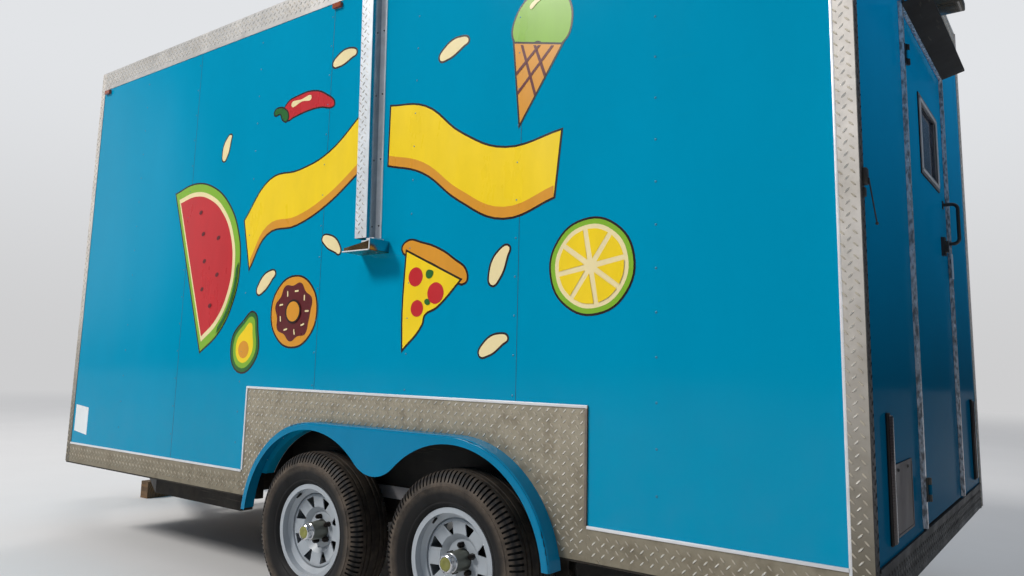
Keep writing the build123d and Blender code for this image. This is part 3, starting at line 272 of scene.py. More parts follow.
def enamel(name, colour, gloss=(0.24, 0.36), dust=0.35, top=1.3, waves=0.0, coat=0.25, level=0.5):
    """Sprayed paint on metal: tone drift, wiping marks, fine scuffs and road dust."""
    material, tree = new_material(name)
    scuffed = mixed(tree, use(tree, SCUFFS, Scale=38.0, Amount=0.18), toned(tree, srgb(*colour)), DUST)
    grime = use(tree, ROAD_DUST, Top=top, Fade=top * 0.8, Amount=dust)
    if waves:
        feed(material, Normal=use(tree, SHEET_WAVES, Depth=waves))
    return feed(material, Base_Color=mixed(tree, grime, scuffed, DUST),
                Roughness=plus(tree, smeared(tree, 5.0, *gloss), times(tree, grime, 0.5)),
                Coat_Weight=coat, Coat_Roughness=0.12, Specular_IOR_Level=level)


def inside_mask(tree):
    """1 on the liner faces inside the body's room and 0 on its outside."""
    middle = Vector((MIDDLE_X, MIDDLE_Y, 0.0))
    off = add(tree, "ShaderNodeVectorMath", {0: places(tree), 1: middle}, operation="SUBTRACT")
    away = add(tree, "ShaderNodeVectorMath", {0: off.outputs[0]}, operation="ABSOLUTE")
    parts = add(tree, "ShaderNodeSeparateXYZ", {0: away.outputs[0]}).outputs
    room_x = (REAR_X - FRONT_X) / 2 - WALL_T * 0.72
    room_y = (KERB_Y - STREET_Y) / 2 - WALL_T * 0.96
    return times(tree, below(tree, parts["X"], room_x), below(tree, parts["Y"], room_y))


def wall_paint(name, colour, level, low_painted_shade=0.0):
    """Teal outside, with painted shade that darkens it lower down, a white liner inside and black round the
    wheels.
    """
    material, tree = new_material(name)
    scuffed = mixed(tree, use(tree, SCUFFS, Scale=30.0, Amount=0.06), toned(tree, srgb(*colour), 0.05, 1.3),
                    srgb(40, 150, 178))
    grime = use(tree, ROAD_DUST, Top=1.15, Fade=0.8, Amount=0.05)
    outside = mixed(tree, grime, scuffed, DUST)
    # painted shade: the paint darkens lower down
    if low_painted_shade:
        fall = times(tree, ranged(tree, axes(tree)["Z"], 2.7, 1.1), low_painted_shade)
        outside = mixed(tree, fall, outside, srgb(0, 62, 84))
    both = mixed(tree, inside_mask(tree), outside, toned(tree, srgb(226, 226, 220), 0.05, 4.0))
    arch = below(tree, use(tree, ARCH_DISTANCE), ARCH_R + 0.001)
    return feed(material, Base_Color=mixed(tree, arch, both, srgb(20, 20, 21)), Specular_IOR_Level=level,
                Roughness=plus(tree, smeared(tree, 3.0, 0.08, 0.13), times(tree, grime, 0.8)),
                Normal=use(tree, SHEET_WAVES, Depth=0.004))


def fender_paint(name, colour):
    """Glossy teal outside and near black on the faces towards the wheels."""
    material, tree = new_material(name)
    sheet = 0.0016
    grime = use(tree, ROAD_DUST, Top=0.8, Fade=0.5, Amount=0.06)
    side = math(tree, "ABSOLUTE", less(tree, axes(tree)["Y"], MIDDLE_Y))
    under = times(tree, below(tree, side, (FENDER_HIGH.y - FENDER_LOW.y) / 2 - sheet),
                  below(tree, use(tree, ARCH_DISTANCE), FENDER_R - sheet))
    painted = mixed(tree, grime, toned(tree, srgb(*colour), 0.07, 5.0), DUST)
    return feed(material, Base_Color=mixed(tree, under, painted, srgb(15, 15, 16)),
                Roughness=plus(tree, smeared(tree, 6.0, 0.16, 0.26), times(tree, under, 0.5)),
                Specular_IOR_Level=0.12)


def bright_metal(name, colour, gloss=(0.28, 0.45), tarnish=0.3, stain=(120, 108, 90), dust=0.4, shine=0.9,
                 grain=(1.0, 1.0, 1.0), blotches=3.5, rear_painted_shade=0.0, foot=0.0, foot_top=1.0):
    """Bare metal: rolling grain, dull stains, road dust, a darker foot of road dirt and painted shade, and
    painted shade on rear faces.
    """
    material, tree = new_material(name)
    bright = srgb(*colour)
    streaks = noise(tree, stretched(tree, grain), 22.0, 5.0, 0.6)
    tone = mixed(tree, ranged(tree, streaks, 0.3, 0.7), shaded(bright, 0.82), bright)
    blotch = noise(tree, places(tree), blotches, 6.0, 0.6)
    stained = mixed(tree, times(tree, ranged(tree, blotch, 0.48, 0.72), tarnish), tone, srgb(*stain))
    grime = use(tree, ROAD_DUST, Top=1.3, Fade=1.0, Amount=dust)
    dusty = mixed(tree, grime, stained, DUST)
    metal = less(tree, shine, times(tree, grime, 0.5))
    parts = axes(tree)
    # darker and browner towards the foot: road dirt and painted shade
    if foot:
        fall = times(tree, ranged(tree, parts["Z"], foot_top, foot_top * 0.5 - 0.3), foot)
        dusty = mixed(tree, fall, dusty, srgb(84, 78, 60))
    # painted shade: rear faces below the roof band, save the kerb corner, go dark and less shiny
    if rear_painted_shade:
        shaded_part = times(tree, below(tree, parts["Z"], TRIM_LOW.z),
                            below(tree, parts["Y"], KERB_Y - CORNER_REAR_END - 0.001))
        behind = times(tree, math(tree, "GREATER_THAN", parts["X"], REAR_X + 0.0002),
                       times(tree, shaded_part, rear_painted_shade))
        dusty = mixed(tree, behind, dusty, srgb(34, 36, 41))
        metal = times(tree, metal, ranged(tree, behind, 0.0, 1.0, 1.0, 0.3))
        feed(material, Specular_IOR_Level=0.08)
    pits = noise(tree, stretched(tree, grain), 260.0, 2.0, 0.5)
    return feed(material, Base_Color=dusty, Metallic=metal, Normal=bumped(tree, pits, 0.15, 0.0006),
                Roughness=plus(tree, smeared(tree, 9.0, *gloss), times(tree, grime, 0.4)))


def rubber(name, colour, dust=0.5, worn=(112, 98, 84)):
    """Road tyre rubber with fine moulding grain, dusty where the wall bulges and on the tread."""
    material, tree = new_material(name)
    cloud = ranged(tree, noise(tree, places(tree), 16.0, 6.0, 0.7), 0.34, 0.66, 0.25, 1.0)
    radius = use(tree, WHEEL_RINGS)
    bulge = times(tree, ranged(tree, radius, 0.262, 0.292), ranged(tree, radius, 0.33, 0.31))
    tread = ranged(tree, radius, 0.334, 0.346)
    where = math(tree, "MAXIMUM", bulge, times(tree, tread, 0.6))
    share = plus(tree, times(tree, where, 0.95), 0.01)
    dusty = times(tree, times(tree, cloud, share), dust, clamp=True)
    grain = noise(tree, places(tree), 380.0, 3.0, 0.6)
    return feed(material, Base_Color=mixed(tree, dusty, toned(tree, srgb(*colour), 0.2, 14.0), srgb(*worn)),
                Roughness=smeared(tree, 12.0, 0.5, 0.75), Normal=bumped(tree, grain, 0.2, 0.0006),
                Specular_IOR_Level=0.3)


def moulded(name, colour, gloss=(0.35, 0.5), grain=420.0):
    """Black or coloured moulded plastic with a fine grain."""
    material, tree = new_material(name)
    grime = use(tree, ROAD_DUST, Top=2.4, Fade=2.2, Amount=0.3)
    return feed(material, Base_Color=mixed(tree, grime, toned(tree, srgb(*colour), 0.2, 8.0), DUST),
                Roughness=smeared(tree, 8.0, *gloss),
                Normal=bumped(tree, noise(tree, places(tree), grain, 2.0), 0.2, 0.0004))


def lens(name, colour):
    """A lamp lens with fine upright ribs behind a clear face."""
    material, tree = new_material(name)
    ribs = add(tree, "ShaderNodeTexWave", {"Vector": places(tree), "Scale": 70.0, "Distortion": 0.0},
               wave_type="BANDS", bands_direction="Z").outputs["Fac"]
    return feed(material, Base_Color=mixed(tree, ribs, shaded(srgb(*colour), 0.45), srgb(*colour)),
                Roughness=smeared(tree, 20.0, 0.08, 0.22), Normal=bumped(tree, ribs, 0.4, 0.001),
                Coat_Weight=0.6, Coat_Roughness=0.05)


def crumpled_strip(name, colour):
    """A bright strip dented all along, its colour going dark and light with the dents as painted glints in
    short dashes.
    """
    material, tree = new_material(name)
    dents = noise(tree, stretched(tree, (1.0, 1.0, 0.45)), 95.0, 2.0, 0.5)
    return feed(material, Metallic=0.45, Roughness=smeared(tree, 14.0, 0.2, 0.34),
                Base_Color=mixed(tree, ranged(tree, dents, 0.36, 0.6), srgb(140, 136, 136), srgb(*colour)),
                Normal=bumped(tree, dents, 0.4, 0.0025))


def glazing(name, tint):
    """Clear glass with a faint tint and a little dirt."""
    material, tree = new_material(name)
    return feed(material, Base_Color=toned(tree, srgb(*tint), 0.04, 5.0),
                Roughness=smeared(tree, 6.0, 0.02, 0.09), Transmission_Weight=0.9, IOR=1.45)


def sawn_wood(name, colour, along, scale):
    """Sawn timber: growth rings along the grain, weathered and dirty."""
    material, tree = new_material(name)
    stretch = {"X": (0.25, 1.0, 1.0), "Y": (1.0, 0.25, 1.0)}[along]
    rings = add(tree, "ShaderNodeTexWave", {"Vector": stretched(tree, stretch), "Scale": scale,
                                            "Distortion": 7.0, "Detail": 3.0, "Detail Scale": 1.5},
                wave_type="RINGS", rings_direction=along).outputs["Fac"]
    grained = mixed(tree, rings, shaded(srgb(*colour), 0.5), srgb(*colour))
    grime = ranged(tree, noise(tree, places(tree), 18.0, 6.0), 0.45, 0.75, 0.0, 0.6)
    return feed(material, Base_Color=mixed(tree, grime, grained, srgb(96, 82, 66)),
                Roughness=smeared(tree, 20.0, 0.65, 0.9), Normal=bumped(tree, rings, 0.5, 0.002))


def printed_film(name, colour):
    """Flat printed vinyl on the wall, with a light tone drift and a satin sheen."""
    material, tree = new_material(name)
    return feed(material, Base_Color=toned(tree, srgb(*colour), 0.05, 9.0),
                Roughness=smeared(tree, 5.0, 0.24, 0.36), Coat_Weight=0.15, Coat_Roughness=0.1)


WALL_PAINT = wall_paint("wall_paint", (0, 145, 184), 0.07)
# the rear wall's paint: lighter than the street wall's as painted light, and darker lower down as painted
# shade
REAR_PAINT_PAINTED_LIGHT = wall_paint("rear_paint_painted_light", (0, 178, 244), 0.001, 0.86)
FENDER_PAINT = fender_paint("fender_paint", (0, 124, 166))
FRAME_PAINT = enamel("frame_paint", (24, 21, 19), (0.5, 0.7), 0.25, 0.8, coat=0.0, level=0.25)
# pale grey on the plates over the black rails: painted light
RAIL_PAINTED_LIGHT = enamel("rail_painted_light", (176, 172, 174), (0.4, 0.55), 0.3, 0.8, coat=0.0)
SPRING_STEEL = enamel("spring_steel", (52, 46, 42), (0.5, 0.7), 0.7, 0.7, coat=0.0)
WELL_PAINT = enamel("well_paint", (14, 14, 15), (0.55, 0.75), 0.15, 0.9, coat=0.0)
ROOF_PAINT = enamel("roof_paint", (226, 227, 224), (0.35, 0.5), 0.0, 1.0, 0.004)
WHEEL_PAINT = enamel("wheel_paint", (166, 173, 180), (0.26, 0.4), 0.16, 0.75)
VISOR_PAINT = enamel("visor_paint", (18, 14, 11), (0.5, 0.65), 0.0, 1.0, coat=0.0, level=0.2)
LAMP_CASE = enamel("lamp_case", (74, 68, 54), (0.45, 0.6), 0.0, 1.0, coat=0.0)
RIVET_HEAD = enamel("rivet_head", (10, 116, 148), (0.3, 0.42), 0.0, 1.0, coat=0.0)
SEAM = enamel("seam_shadow", (0, 66, 92), (0.3, 0.45), 0.1)
LIGHT_FRAME = enamel("window_bead", (204, 208, 214), (0.3, 0.4), 0.0, 1.0)
GREY_FRAME = enamel("window_flange", (108, 108, 112), (0.35, 0.5), 0.0, 1.0)
# rear faces of these metals are darkened as painted shade, and the feet of plate and corners by road dirt and
# painted shade
PLATE = bright_metal("tread_plate", (178, 169, 150), (0.34, 0.5), 0.5, (92, 80, 62), 0.45, 0.5,
                     blotches=15.0, rear_painted_shade=0.93, foot=0.7, foot_top=0.85)
BAND = bright_metal("roof_band", (214, 210, 205), (0.32, 0.46), 0.3, (140, 128, 108), 0.3, 0.35)
CORNER = bright_metal("corner_sheet", (232, 225, 217), (0.32, 0.46), 0.3, (140, 128, 108), 0.6, 0.35,
                      rear_painted_shade=0.9, foot=0.9, foot_top=1.6)
# lugs lighter than the sheet as a painted highlight, with a dimmer copy for the lean in painted shade
LUGS_PAINTED_SHADE = bright_metal("lugs_painted_shade", (200, 192, 176), (0.4, 0.55), 0.4, shine=0.45, rear_painted_shade=0.93)
LUGS = bright_metal("lugs_painted_highlight", (240, 236, 226), (0.2, 0.32), 0.1, dust=0.1, shine=0.7, rear_painted_shade=0.88)
DULL_LUGS = bright_metal("worn_lugs", (182, 176, 160), (0.35, 0.5), shine=0.5, rear_painted_shade=0.75)
CHANNEL_PLATE = bright_metal("channel_plate", (238, 242, 246), (0.3, 0.42), 0.15, (170, 172, 172), 0.0, 0.25)
POLISHED = bright_metal("polished_side", (168, 180, 188), (0.1, 0.18), 0.1, dust=0.0, shine=1.0,
                        grain=(1, 1, 0.2))
BRONZED = bright_metal("bronzed_shelf", (168, 136, 96), (0.16, 0.3), 0.5, (84, 52, 30), 0.0, 0.95)
# edges drawn bright as a painted highlight, and below a dull copy as painted shade
EDGE = bright_metal("edge_painted_highlight", (246, 246, 248), (0.4, 0.5), 0.05, dust=0.05, shine=0.5,
                    grain=(0.1, 0.1, 1.0), rear_painted_shade=0.7)
EDGE_PAINTED_SHADE = bright_metal("edge_painted_shade", (128, 118, 110), (0.4, 0.55), 0.6, (84, 72, 62), 0.4, 0.4,
                         blotches=24.0)
CORNER_BEAD = bright_metal("corner_bead", (236, 230, 228), (0.35, 0.5), 0.1, dust=0.0, shine=0.1)
STRIP = crumpled_strip("door_strip", (226, 226, 230))
EXTRUSION = bright_metal("mill_extrusion", (206, 205, 206), (0.2, 0.34), 0.12, grain=(1, 1, 0.05))
ZINC = bright_metal("zinc_plate", (176, 176, 172), (0.3, 0.5), 0.5, (140, 124, 92))
STAINLESS = bright_metal("brushed_shelf", (190, 190, 190), (0.24, 0.34), 0.05, grain=(0.04, 1, 1))
BLANK_PLATE = bright_metal("blank_plate", (76, 70, 72), (0.4, 0.55), 0.5, (34, 30, 32), 0.25, 0.5,
                           grain=(0.4, 0.4, 1))
HUB_METAL = bright_metal("hub_metal", (112, 116, 108), (0.3, 0.45), 0.4, (52, 50, 44), 0.2, 0.6)
CHROME = bright_metal("cap_chrome", (230, 230, 232), (0.07, 0.16), 0.1, dust=0.1)
NUT_STEEL = bright_metal("nut_steel", (38, 34, 33), (0.35, 0.5), 0.5, (24, 20, 18), 0.1)
TYRE_RUBBER = rubber("tyre_rubber", (19, 18, 19), 0.62, (118, 104, 90))
# near black with little dust: painted shade in the tyre slots and on the drum behind the wheel's holes
PAINTED_SHADE_BLACK = rubber("painted_shade_black", (7, 7, 7), 0.05)
SEAL_RUBBER = rubber("seal_rubber", (24, 24, 25), 0.1)
BLACK_MOULDING = moulded("black_moulding", (22, 22, 23))
CAP_PLUG = moulded("cap_plug", (124, 126, 46), (0.3, 0.45), 160.0)
RED_LENS = lens("red_lens", (44, 15, 13))
AMBER_LENS = lens("amber_lens", (176, 82, 34))
CLEAR_LENS = lens("clear_lens", (122, 114, 98))
GLASS = glazing("window_glass", (196, 214, 222))
TINTED_GLASS = glazing("tinted_glass", (110, 136, 176))
TIMBER = sawn_wood("block_timber", (112, 84, 54), "X", 14.0)
PLYWOOD = sawn_wood("deck_plywood", (150, 124, 92), "Y", 6.0)
FILMS = {colour: printed_film("film_" + colour, steps) for colour, steps in (
    ("outline", (38, 22, 22)), ("yellow", (250, 214, 28)), ("amber", (222, 152, 44)),
    ("red", (198, 40, 46)), ("maroon", (96, 30, 34)), ("cream", (244, 226, 172)),
    ("green", (132, 182, 46)), ("leaf", (40, 104, 44)), ("white", (226, 232, 234)))}

# each finish with the solids that it covers
FINISHES = (
    (FRAME_PAINT, "main_rails side_sills cross_members tongue_frame spring_hangers axles"),
    (SPRING_STEEL, "leaf_springs"), (ZINC, "coupler jack_tube jack_leg"), (TIMBER, "jack_block"),
    (PLYWOOD, "floor_deck"), (WALL_PAINT, "wall_street wall_kerb wall_front hatch_leaf"),
    (REAR_PAINT_PAINTED_LIGHT, "wall_rear door_leaf"), (ROOF_PAINT, "roof"), (WELL_PAINT, "wheel_wells"),
    (FENDER_PAINT, "fenders"), (PLATE, "wheel_panels skirt_trim"), (BAND, "roof_trim"),
    (CORNER, "corner_trims"), (STRIP, "door_trim"), (GREY_FRAME, "door_window_frame"),
    (BLACK_MOULDING, "door_hinges door_latch grab_handle door_holdback"),
    (TINTED_GLASS, "door_glass"), (VISOR_PAINT, "door_visor"), (RED_LENS, "tail_lights"),
    (BLANK_PLATE, "number_plate"), (AMBER_LENS, "marker_lights"), (LAMP_CASE, "flood_light"),
    (CHANNEL_PLATE, "wall_channel"), (BRONZED, "channel_bracket"), (GLASS, "serving_glass"),
    (EXTRUSION, "hatch_hinge serving_frame shelf_brackets"), (STAINLESS, "serving_shelf"),
    (TYRE_RUBBER, " ".join("tyre_" + wheel for wheel in WHEELS)),
    (WHEEL_PAINT, " ".join("wheel_" + wheel for wheel in WHEELS)),
    (HUB_METAL, " ".join("hub_" + wheel for wheel in WHEELS)),
)


def dress_nodes():
    """Gives every solid its finish."""
    for finish, names in FINISHES:
        for name in names.split():
            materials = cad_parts[name].data.materials
            materials.clear()
            materials.append(finish)


def piece_from(bm, name, material, body="trailer", smooth=None):
    """Turns a bmesh into a piece that rides on a body and takes a finish."""
    mesh = bpy.data.meshes.new(name)
    bmesh.ops.recalc_face_normals(bm, faces=bm.faces)
    bm.to_mesh(mesh)
    bm.free()
    mesh.materials.append(material)
    if smooth is not None:
        mesh.shade_smooth()
        mesh.set_sharp_from_angle(angle=radians(smooth))
    piece = bpy.data.objects.new(name, mesh)
    scene.collection.objects.link(piece)
    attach(piece, body)
    return piece


def gather(name, drawings, material):
    """Joins several drawings into one piece of the trailer's body."""
    whole = bmesh.new()
    for drawing in drawings:
        mesh = bpy.data.meshes.new("part")
        drawing.to_mesh(mesh)
        drawing.free()
        whole.from_mesh(mesh)
        bpy.data.meshes.remove(mesh)
    return piece_from(whole, name, material)


def only_verts(geometry):
    return [item for item in geometry if isinstance(item, bmesh.types.BMVert)]


def slab(bm, start, end, ease=0.0):
    """A block between two corners, with its edges eased."""
    low = Vector([min(pair) for pair in zip(start, end)])
    high = Vector([max(pair) for pair in zip(start, end)])
    place = Matrix.Translation((low + high) / 2) @ Matrix.Diagonal((*(high - low), 1.0))
    verts = bmesh.ops.create_cube(bm, size=1.0, matrix=place)["verts"]
    if ease:
        edges = list({edge for vert in verts for edge in vert.link_edges})
        bmesh.ops.bevel(bm, geom=edges, offset=ease, segments=2, profile=0.5, affect="EDGES",
                        material=-1)
    return verts


def blocks(*corners):
    """A drawing of blocks, each given by two corners and how far its edges are eased."""
    bm = bmesh.new()
    for start, end, ease in corners:
        slab(bm, start, end, ease)
    return bm


def cone(bm, sides, low_r, high_r, length, place):
    bmesh.ops.create_cone(bm, cap_ends=True, segments=sides, radius1=low_r, radius2=high_r,
                          depth=length, matrix=place)


def turned(outline, steps, place):
    """An outline of radius and height turned round the Z axis, then put in place."""
    bm = bmesh.new()
    verts = [bm.verts.new((radius, 0, height)) for radius, height in outline]
    edges = [bm.edges.new(pair) for pair in zip(verts, verts[1:])]
    bmesh.ops.spin(bm, geom=verts + edges, cent=(0, 0, 0), axis=(0, 0, 1), angle=2 * pi,
                   steps=steps, use_merge=True)
    bmesh.ops.transform(bm, matrix=place, verts=bm.verts)
    return bm


def repeat(bm, count, step):
    """Repeats all that is drawn so far, count times in all, each moved on by step."""
    first = bm.verts[:] + bm.edges[:] + bm.faces[:]
    for turn in range(1, count):
        copy = bmesh.ops.duplicate(bm, geom=first)["geom"]
        bmesh.ops.translate(bm, verts=only_verts(copy), vec=step * turn)


def facing(side, along, height):
    """Turns a drawing in u, v and outward w to one wall: u runs along it, v up and w out of it."""
    u, w, origin = {
        "street": ((1, 0, 0), (0, -1, 0), (along, STREET_Y, height)),
        "kerb": ((-1, 0, 0), (0, 1, 0), (along, KERB_Y, height)),
        "rear": ((0, 1, 0), (1, 0, 0), (REAR_X, along, height)),
        "front": ((0, -1, 0), (-1, 0, 0), (FRONT_X, along, height)),
    }[side]
    return Matrix.Translation(origin) @ Matrix((u, (0, 0, 1), w)).transposed().to_4x4()


def place_on(bm, side, along, height, out=0.0):
    """Moves a drawing in u, v and w onto a wall, out from its face."""
    bmesh.ops.transform(bm, matrix=facing(side, along, height) @ Matrix.Translation((0, 0, out)),
                        verts=bm.verts)
    return bm


LUG_PITCH = 0.0375
LUG_LONG, LUG_WIDE, LUG_HIGH = 0.0150, 0.0040, 0.0019
LUG_SIDES = 6


def lug_field(width, height, keep=None):
    """Tread plate's raised lugs in two crossing directions, drawn in u and v from a corner."""
    bm = bmesh.new()
    for share, lean in ((0.25, 45), (0.75, -45)):
        cone(bm, LUG_SIDES, 1.0, 0.55, 1.0,
             Matrix.Translation((share * LUG_PITCH, share * LUG_PITCH, 0))
             @ Matrix.Rotation(radians(lean), 4, "Z")
             @ Matrix.Diagonal((LUG_WIDE, LUG_LONG, LUG_HIGH * 2, 1)))
    repeat(bm, int(width / LUG_PITCH) + 1, Vector((LUG_PITCH, 0, 0)))
    repeat(bm, int(height / LUG_PITCH) + 1, Vector((0, LUG_PITCH, 0)))
    bm.verts.ensure_lookup_table()
    for face in bm.faces:
        # the first lean of each pair takes a piece's second finish, the dimmer one of painted shade
        face.material_index = 1 if face.verts[0].index // (2 * LUG_SIDES) % 2 == 0 else 0
    lost = []
    margin = LUG_LONG * 0.72
    for start in range(0, len(bm.verts), 2 * LUG_SIDES):
        lug = bm.verts[start:start + 2 * LUG_SIDES]
        middle = sum((vert.co for vert in lug), Vector()) / len(lug)
        inside = margin < middle.x < width - margin and margin < middle.y < height - margin
        if not inside or (keep and not keep(middle.x, middle.y)):
            lost += lug
    bmesh.ops.delete(bm, geom=lost, context="VERTS")
    return bm


def panel_lugs(side):
    """Lugs on one wheel panel, clear of the fender and of the folded edges."""
    start, turn = (PANEL_LOW.x, 1) if side == "street" else (PANEL_HIGH.x, -1)

    def clear_of_fender(u, v):
        x = start + turn * u
        off = max(FRONT_AXLE - x, x - REAR_AXLE, 0.0)
        return hypot(off, max(SKIRT_LOW.z + v - AXLE_Z, 0.0)) > FENDER_R + 0.006

    field = lug_field(PANEL_HIGH.x - PANEL_LOW.x, PANEL_HIGH.z - SKIRT_LOW.z - 0.01, clear_of_fender)
    return place_on(field, side, start, SKIRT_LOW.z, SKIN_T)


def band_lugs(side, low, high, low_z, high_z):
    """Lugs on a straight band of one wall, between two places along it and two heights."""
    start = low if side in ("street", "rear") else high
    return place_on(lug_field(high - low, high_z - low_z), side, start, low_z, SKIN_T)


def plate_lugs(name, drawings, material):
    """A piece of lugs with painted light: one lean takes the lighter finish as a painted highlight, the other
    a dimmer finish as painted shade.
    """
    piece = gather(name, drawings, material)
    piece.data.materials.append(LUGS_PAINTED_SHADE)


def make_plate_lugs():
    """The raised lugs on every sheet of tread plate."""
    for side, wall, turn in WALLS:
        plate_lugs("panel_lugs_" + side, [panel_lugs(side)], LUGS)
    edge, lip = 0.005, 0.012
    front_end, rear_end = FRONT_X + CORNER_FRONT, REAR_X - CORNER_REAR_SIDE
    spans = {"street": (front_end, rear_end), "kerb": (front_end, rear_end),
             "rear": (STREET_Y + CORNER_REAR_END, KERB_Y - CORNER_REAR_END),
             "front": (STREET_Y + CORNER_FRONT, KERB_Y - CORNER_FRONT)}
    plate_lugs("roof_band_lugs", [band_lugs(side, *span, TRIM_LOW.z + edge, TRIM_HIGH.z - edge)
                                  for side, span in spans.items()], LUGS)
    runs = [("street", front_end, PANEL_LOW.x), ("street", PANEL_HIGH.x, rear_end),
            ("kerb", front_end, PANEL_LOW.x), ("kerb", PANEL_HIGH.x, rear_end),
            ("front", *spans["front"]), ("rear", *spans["rear"])]
    skirt = [band_lugs(*run, SKIRT_LOW.z, SKIRT_HIGH.z - lip) for run in runs]
    plate_lugs("skirt_lugs", skirt[1:], LUGS)
    plate_lugs("front_skirt_lugs", skirt[:1], DULL_LUGS)
    corners = []
    for side, wall, turn in WALLS:
        corners += [(side, rear_end + edge, REAR_X), (side, FRONT_X, front_end)]
    for side, width in (("rear", CORNER_REAR_END), ("front", CORNER_FRONT)):
        corners += [(side, STREET_Y, STREET_Y + width), (side, KERB_Y - width, KERB_Y)]
    plate_lugs("corner_lugs", [band_lugs(*run, SKIRT_LOW.z, TRIM_HIGH.z) for run in corners], LUGS)


def make_folded_edges():
    """The folded edges of skirts, panels and rear corners, drawn bright as a painted highlight, and the
    panels' rear edge, drawn dull as painted shade.
    """
    bright, dull = bmesh.new(), bmesh.new()
    lip_high, lip_out, flap_out, flap_wide, proud, ease = 0.0105, 0.0076, 0.0042, 0.009, 0.0006, 0.0014
    front_end, rear_end = FRONT_X + CORNER_FRONT, REAR_X - CORNER_REAR_SIDE
    for side, wall, turn in WALLS:
        out = wall + turn * lip_out
        for start, end, top in ((front_end, PANEL_LOW.x, SKIRT_HIGH.z),
                                (PANEL_HIGH.x, rear_end, SKIRT_HIGH.z),
                                (PANEL_LOW.x, PANEL_HIGH.x, PANEL_HIGH.z)):
            slab(bright, (start, wall, top - lip_high), (end, out, top + proud), ease)
        for drawing, x in ((bright, PANEL_LOW.x), (dull, PANEL_HIGH.x - lip_high)):
            slab(drawing, (x, wall, SKIRT_HIGH.z), (x + lip_high, out, PANEL_HIGH.z - lip_high), ease)
        slab(bright, (rear_end - proud, wall, SKIRT_LOW.z),
             (rear_end + flap_wide, wall + turn * flap_out, TRIM_HIGH.z), ease)
    piece_from(bright, "folded_edges", EDGE, smooth=40)
    piece_from(dull, "rear_panel_edges", EDGE_PAINTED_SHADE, smooth=40)


RIVET_R, RIVET_H = 0.0050, 0.0020
RIVET_PITCH, RIVET_START = 0.1545, 0.695
RIVET_BESIDE = 0.016
SEAM_W, SEAM_OUT = 0.0022, 0.0005
SHEET_W, FIRST_SEAM = 1.191, 1.271
# where the wall's sheets meet, counted forward from the rear corner
SEAMS = [REAR_X - FIRST_SEAM - SHEET_W * i for i in range(3)]


def over_panel(x):
    return PANEL_LOW.x - 0.01 < x < PANEL_HIGH.x + 0.01


def over_hatch(side, x):
    return side == "kerb" and HATCH_LOW.x < x < HATCH_HIGH.x


def rivet_at(bm, side, along, z, radius=RIVET_R, height=RIVET_H):
    cone(bm, 8, radius, radius * 0.45, height,
         facing(side, along, z) @ Matrix.Translation((0, 0, height / 2)))


def make_wall_joints():
    """Sheet joints with a column of rivets beside each, and one column midway between."""
    for side, wall, turn in WALLS:
        seams, rivets = bmesh.new(), bmesh.new()
        columns = []
        for x in SEAMS:
            spans = [(PANEL_HIGH.z if over_panel(x) else WALL_LOW.z, TRIM_LOW.z)]
            if over_hatch(side, x):
                spans = [(spans[0][0], SHELF_Z), (HATCH_HIGH.z, TRIM_LOW.z)]
            for bottom, top in spans:
                slab(seams, (x - SEAM_W / 2, wall, bottom), (x + SEAM_W / 2, wall + turn * SEAM_OUT, top))
            columns += [x - RIVET_BESIDE, x + SHEET_W / 2]
        for x in columns + [SEAMS[-1] - SHEET_W / 2]:
            z = RIVET_START
            while z < TRIM_LOW.z - 0.03:
                under_panel = over_panel(x) and z < PANEL_HIGH.z + 0.02
                if not under_panel and not (over_hatch(side, x) and SHELF_Z < z < HATCH_HIGH.z + 0.05):
                    rivet_at(rivets, side, x, z)
                z += RIVET_PITCH
        piece_from(seams, "wall_joints_" + side, SEAM)
        piece_from(rivets, "wall_rivets_" + side, RIVET_HEAD, smooth=50)


TYRE_SPIN = 500
# radius and outboard place of half the tyre's outline, from the bead to the middle of the tread
TYRE_HALF = [
    (0.1925, 0.050), (0.1925, 0.0755), (0.2100, 0.0758), (0.2130, 0.0815), (0.2190, 0.0875),
    (0.2230, 0.0925), (0.2270, 0.0940), (0.2310, 0.0930), (0.2340, 0.0950), (0.2450, 0.1010),
    (0.2600, 0.1062), (0.2760, 0.1088), (0.2880, 0.1090), (0.2900, 0.1104), (0.2935, 0.1104),
    (0.2955, 0.1078), (0.2985, 0.1072), (0.3060, 0.1050), (0.3120, 0.1022), (0.3180, 0.0998),
    (0.3260, 0.0962), (0.3350, 0.0908), (0.3430, 0.0840), (0.3480, 0.0765), (0.3500, 0.0700),
    (0.3508, 0.0600), (0.3510, 0.0560), (0.3500, 0.0545), (0.3430, 0.0535), (0.3430, 0.0475),
    (0.3505, 0.0465), (0.3515, 0.0300), (0.3505, 0.0290), (0.3435, 0.0280), (0.3435, 0.0205),
    (0.3512, 0.0195), (0.3520, 0.0060),
]
SLOT_ROWS = (17, 24)
SLOT_EVERY, SLOT_SHARE = 5, 2
SLOT_DEPTH, SLOT_IN = 0.0075, 0.003


